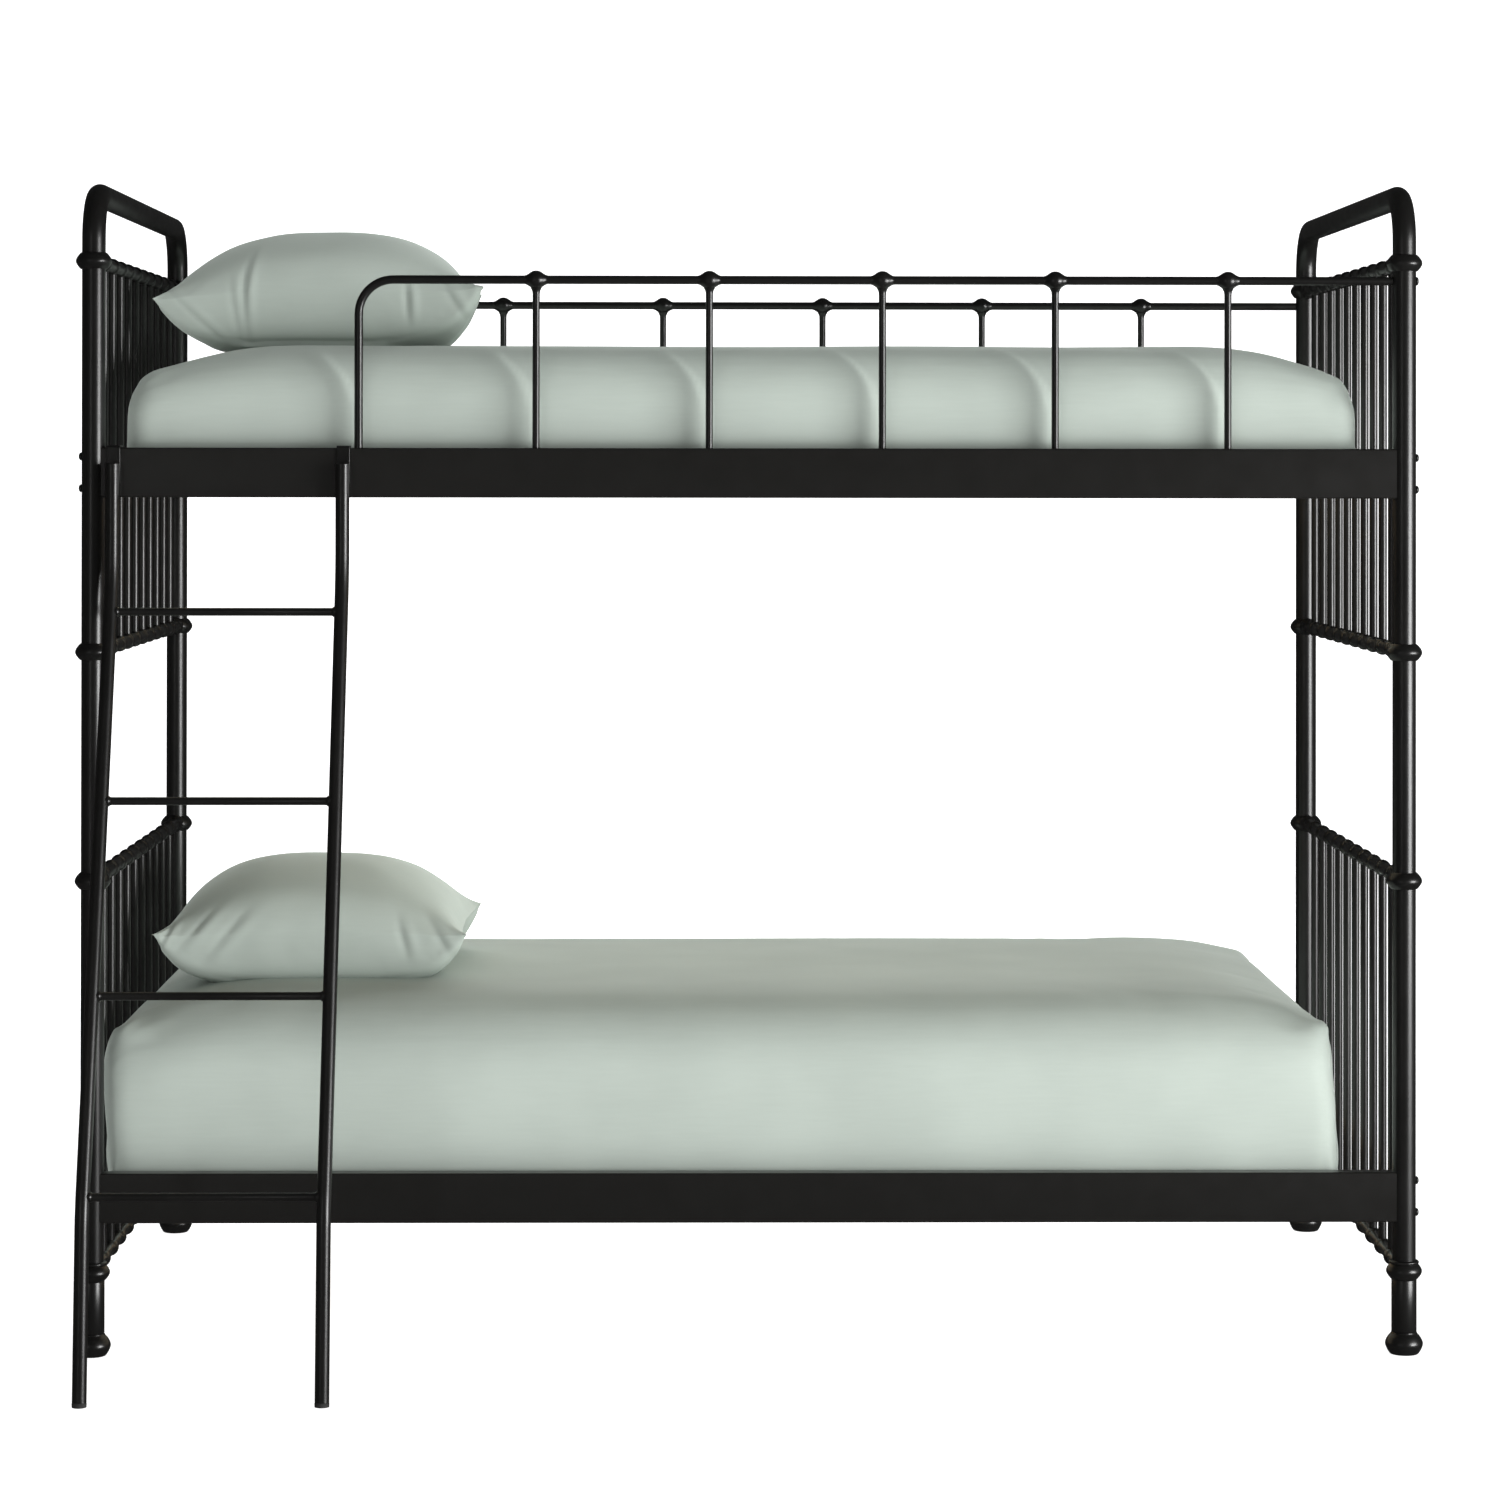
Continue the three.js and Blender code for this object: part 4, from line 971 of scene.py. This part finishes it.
def pillow(level, outset, lift, folds):
    """A plump pillow: two panels sewn to pointed corners, blown up as cloth, with folds drawn in by its seams.

    outset and lift say how far each of its four corners is drawn out along X and up.
    """
    node = f"{level}_pillow"
    low, high = (Vector(corner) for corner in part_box(node))
    size = high - low
    count = PILLOW_GRID
    seam_z = low.z + size.z * PILLOW_SEAM_SHARE
    above = high.z - seam_z - PILLOW_SWELL * 0.6
    below = seam_z - low.z
    centre = (low + high) / 2

    def place(u, v, side):
        x = u * size.x / 2 * (1 - PILLOW_WAIST * (1 - v ** 2) * abs(u) ** 3)
        y = v * size.y / 2 * (1 - PILLOW_WAIST * (1 - u ** 2) * abs(v) ** 3)
        plump = (1 - abs(u) ** 3) * (1 - v ** 2) ** (0.50 + 0.35 * u ** 2)
        rise = above * plump
        if side < 0:
            flat = math.tanh(UNDERSIDE_FLATNESS * (1 - abs(u) ** 3))
            rise = -below * flat * math.tanh(UNDERSIDE_EDGE * (1 - v ** 2) ** 0.5) / math.tanh(UNDERSIDE_FLATNESS)
        tip = abs(u * v) ** 2
        return Vector((centre.x + x + between(outset, u, v) * abs(u),
                       centre.y + y, seam_z + rise + between(lift, u, v) * tip))

    bm = bmesh.new()
    grid = {}
    steps = [math.sin(math.pi / 2 * (2 * i / count - 1)) for i in range(count + 1)]
    for side in (1, -1):
        for i, u in enumerate(steps):
            for j, v in enumerate(steps):
                border = i in (0, count) or j in (0, count)
                if border and side < 0:
                    grid[i, j, side] = grid[i, j, 1]
                    continue
                grid[i, j, side] = bm.verts.new(place(u, v, side))
        for i in range(count):
            for j in range(count):
                face = [grid[a, b, side] for a, b in ((i, j), (i + 1, j), (i + 1, j + 1), (i, j + 1))]
                bm.faces.new(face if side > 0 else reversed(face))
    mesh = bpy.data.meshes.new(f"{level}_pillow_stuffed")
    bm.to_mesh(mesh)
    bm.free()
    piece = bpy.data.objects.new(mesh.name, mesh)
    bpy.context.scene.collection.objects.link(piece)
    mesh.materials.append(PILLOWCASE)
    inflate(piece, pressure=4.0, frames=20, cap=PILLOW_SWELL, stiffness=15, bending=0.3,
            pinned=lambda p: p.z < low.z + 0.004)
    soften(piece)
    normals = [vertex.normal.copy() for vertex in piece.data.vertices]
    for vertex, normal in zip(piece.data.vertices, normals):
        point = vertex.co
        u = 2 * (point.x - centre.x) / size.x
        rise = (point.z - low.z) / size.z
        push = PILLOW_ROUGHNESS * noise.noise(Vector((point.x * 16, point.y * 16, point.z * 16)))
        if point.y < centre.y:
            front = falloff(point.y - low.y, 0.16)
            for where, lean, bow, width, depth, height, span in folds:
                up = rise - height
                across = (u - where - lean * up - bow * up ** 2) / width
                shape = falloff(across - 0.9, 0.8) - 1.1 * falloff(across + 0.4, 0.6)
                push += depth * shape * falloff(up, span) * front
        point += normal * push
        point.z = max(point.z, low.z)
    stand_soft(piece, node)


# ---------------------------------------------------------------- stage, light and camera

STAGE_LEFT, STAGE_RIGHT, STAGE_FRONT, STAGE_BACK, STAGE_TOP = -14, 14, -12, 7, 9
WORLD_STRENGTH = 0.03
# The lamps: name, place, target, width and height, power, and whether the metal mirrors them.
LAMPS = [
    ("key", (4.7, -3.3, 1.0), (0, 0, 0.95), (2.7, 2.0), 350, True),
    ("wash", (-0.8, -6.6, 4.6), (0, 0, 0.7), (4.0, 3.0), 75, False),
    ("lift", (-1.2, -5.6, 0.5), (-0.3, 0, 1.2), (3.0, 1.0), 26, False),
    ("overhead", (0.0, 0.2, 5.4), (0, 0.2, 0.9), (4.0, 3.0), 68, False),
    ("rear", (0, 6.0, 3.0), (0, 0, 0.8), (8.0, 3.0), 360, False),
    ("glint", (-3.2, -6.6, 1.5), (0, 0, 0.9), (0.5, 2.6), 12, True),
]
CAMERA_PLACE = (-0.0833, -6.6695, 1.3414)
CAMERA_YAW, CAMERA_PITCH, CAMERA_ROLL = (math.radians(angle) for angle in (0.751, 0.286, 0.068))
SENSOR_WIDTH_MM = 36
LENS_MM = 100.5
LENS_SHIFT = -0.2038


def emitter(name, corners, strength, lights_bed=True):
    """A plain white panel that glows, as part of the stage. The metal never mirrors it."""
    made, tree, shader = material(name)
    shader.inputs["Base Color"].default_value = (0.5, 0.5, 0.5, 1)
    shader.inputs["Roughness"].default_value = 0.9
    shader.inputs["Emission Color"].default_value = (1, 1, 1, 1)
    shader.inputs["Emission Strength"].default_value = strength
    bm = bmesh.new()
    bm.faces.new([bm.verts.new(corner) for corner in corners])
    mesh = bpy.data.meshes.new(name)
    bm.to_mesh(mesh)
    bm.free()
    mesh.materials.append(made)
    panel = bpy.data.objects.new(name, mesh)
    panel.visible_glossy = False
    panel.visible_diffuse = lights_bed
    panel.visible_shadow = lights_bed
    bpy.context.scene.collection.objects.link(panel)


def softbox(name, place, target, size, power, mirrored):
    """A rectangular lamp, out of the camera's sight. The bed's gloss shows it only where mirrored is true."""
    light = bpy.data.lights.new(name, "AREA")
    light.shape = "RECTANGLE"
    light.size, light.size_y = size
    light.energy = power
    made = bpy.data.objects.new(name, light)
    made.location = place
    made.rotation_euler = (Vector(target) - Vector(place)).to_track_quat("-Z", "Y").to_euler()
    made.visible_glossy = mirrored
    made.visible_camera = False
    bpy.context.scene.collection.objects.link(made)


def wall(x_from, y_from, x_to, y_to):
    """The corners of an upright panel over a line on the floor."""
    return [(x_from, y_from, 0), (x_to, y_to, 0), (x_to, y_to, STAGE_TOP), (x_from, y_from, STAGE_TOP)]


def studio():
    """A white floor and backdrop that light the bed, three white walls that only close the view, and the lamps."""
    world = bpy.data.worlds.new("studio")
    world.use_nodes = True
    background = world.node_tree.nodes["Background"]
    background.inputs["Color"].default_value = (1, 1, 1, 1)
    background.inputs["Strength"].default_value = WORLD_STRENGTH
    bpy.context.scene.world = world
    bpy.context.scene.view_settings.view_transform = "Standard"
    left, right, front, back = STAGE_LEFT, STAGE_RIGHT, STAGE_FRONT, STAGE_BACK
    emitter("floor", [(left, front, 0), (right, front, 0), (right, back, 0), (left, back, 0)], 0.95)
    emitter("backdrop", wall(left, back, right, back), 1.0)
    emitter("left_wall", wall(left, front, left, back), 1.0, lights_bed=False)
    emitter("right_wall", wall(right, front, right, back), 1.0, lights_bed=False)
    emitter("front_wall", wall(left, front, right, front), 1.0, lights_bed=False)
    for lamp in LAMPS:
        softbox(*lamp)


def camera():
    """At the photographer's place, nearly square on to the front and above the middle, shifted down."""
    lens = bpy.data.cameras.new("camera")
    lens.sensor_width = SENSOR_WIDTH_MM
    lens.lens = LENS_MM
    lens.shift_y = LENS_SHIFT
    made = bpy.data.objects.new("camera", lens)
    ahead = Vector((math.sin(CAMERA_YAW) * math.cos(CAMERA_PITCH), math.cos(CAMERA_YAW) * math.cos(CAMERA_PITCH),
                    math.sin(CAMERA_PITCH)))
    right = ahead.cross(Z_AXIS).normalized()
    up = right.cross(ahead)
    tilted_right = right * math.cos(CAMERA_ROLL) + up * math.sin(CAMERA_ROLL)
    tilted_up = up * math.cos(CAMERA_ROLL) - right * math.sin(CAMERA_ROLL)
    turn = Matrix((tilted_right, tilted_up, -ahead)).transposed().to_4x4()
    made.matrix_world = Matrix.Translation(CAMERA_PLACE) @ turn
    bpy.context.scene.collection.objects.link(made)
    bpy.context.scene.camera = made


# ---------------------------------------------------------------- the whole bed

for end, sign in (("left", -1), ("right", 1)):
    hoop(end, sign)
    for level in ("lower", "upper"):
        spindle_panel(level, end, sign)
    for side, y in (("front", FRONT_Y), ("back", BACK_Y)):
        leg(end, sign, side, y)
        foot(end, sign, side, y)
        finish_pin(end, side)
    ladder_side(end)
    ladder_hook(end)
    ladder_plug(end)
for level in ("lower", "upper"):
    for side, sign in (("front", -1), ("back", 1)):
        side_rail(level, side, sign)
        for end in ("left", "right"):
            for place in ("top", "bottom"):
                bolt(f"{level}_{side}_{end}_{place}_rail_bolt", RAIL_BOLT_HEAD_HEIGHT)
    slat_base(level)
for side in ("front", "back"):
    guard_rail(side)
for node in ("front_right_guard_bolt", "back_left_guard_bolt", "back_right_guard_bolt"):
    bolt(node, GUARD_BOLT_HEAD_HEIGHT)
for number in range(1, RUNG_COUNT + 1):
    ladder_rung(number)

guard_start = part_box("front_guard_rail")[0][0] + GUARD_RADIUS
uprights = [guard_start, *front_baluster_xs(guard_start)]
mattress("lower", edge=0.100, droops=(0.046, 0.027), growth=(0.005, 0.005, 0.012), lean=0.023)
mattress("upper", edge=0.078, droops=(0.046, 0.046), growth=(0.008, 0.004, -0.003), uprights=uprights)
pillow("lower", outset=(-0.002, 0, 0, 0), lift=(0, 0, 0, 0), folds=LOWER_PILLOW_FOLDS)
pillow("upper", outset=(-0.020, 0.009, 0, -0.020), lift=(-0.011, 0.010, 0, 0.015), folds=UPPER_PILLOW_FOLDS)
studio()
camera()
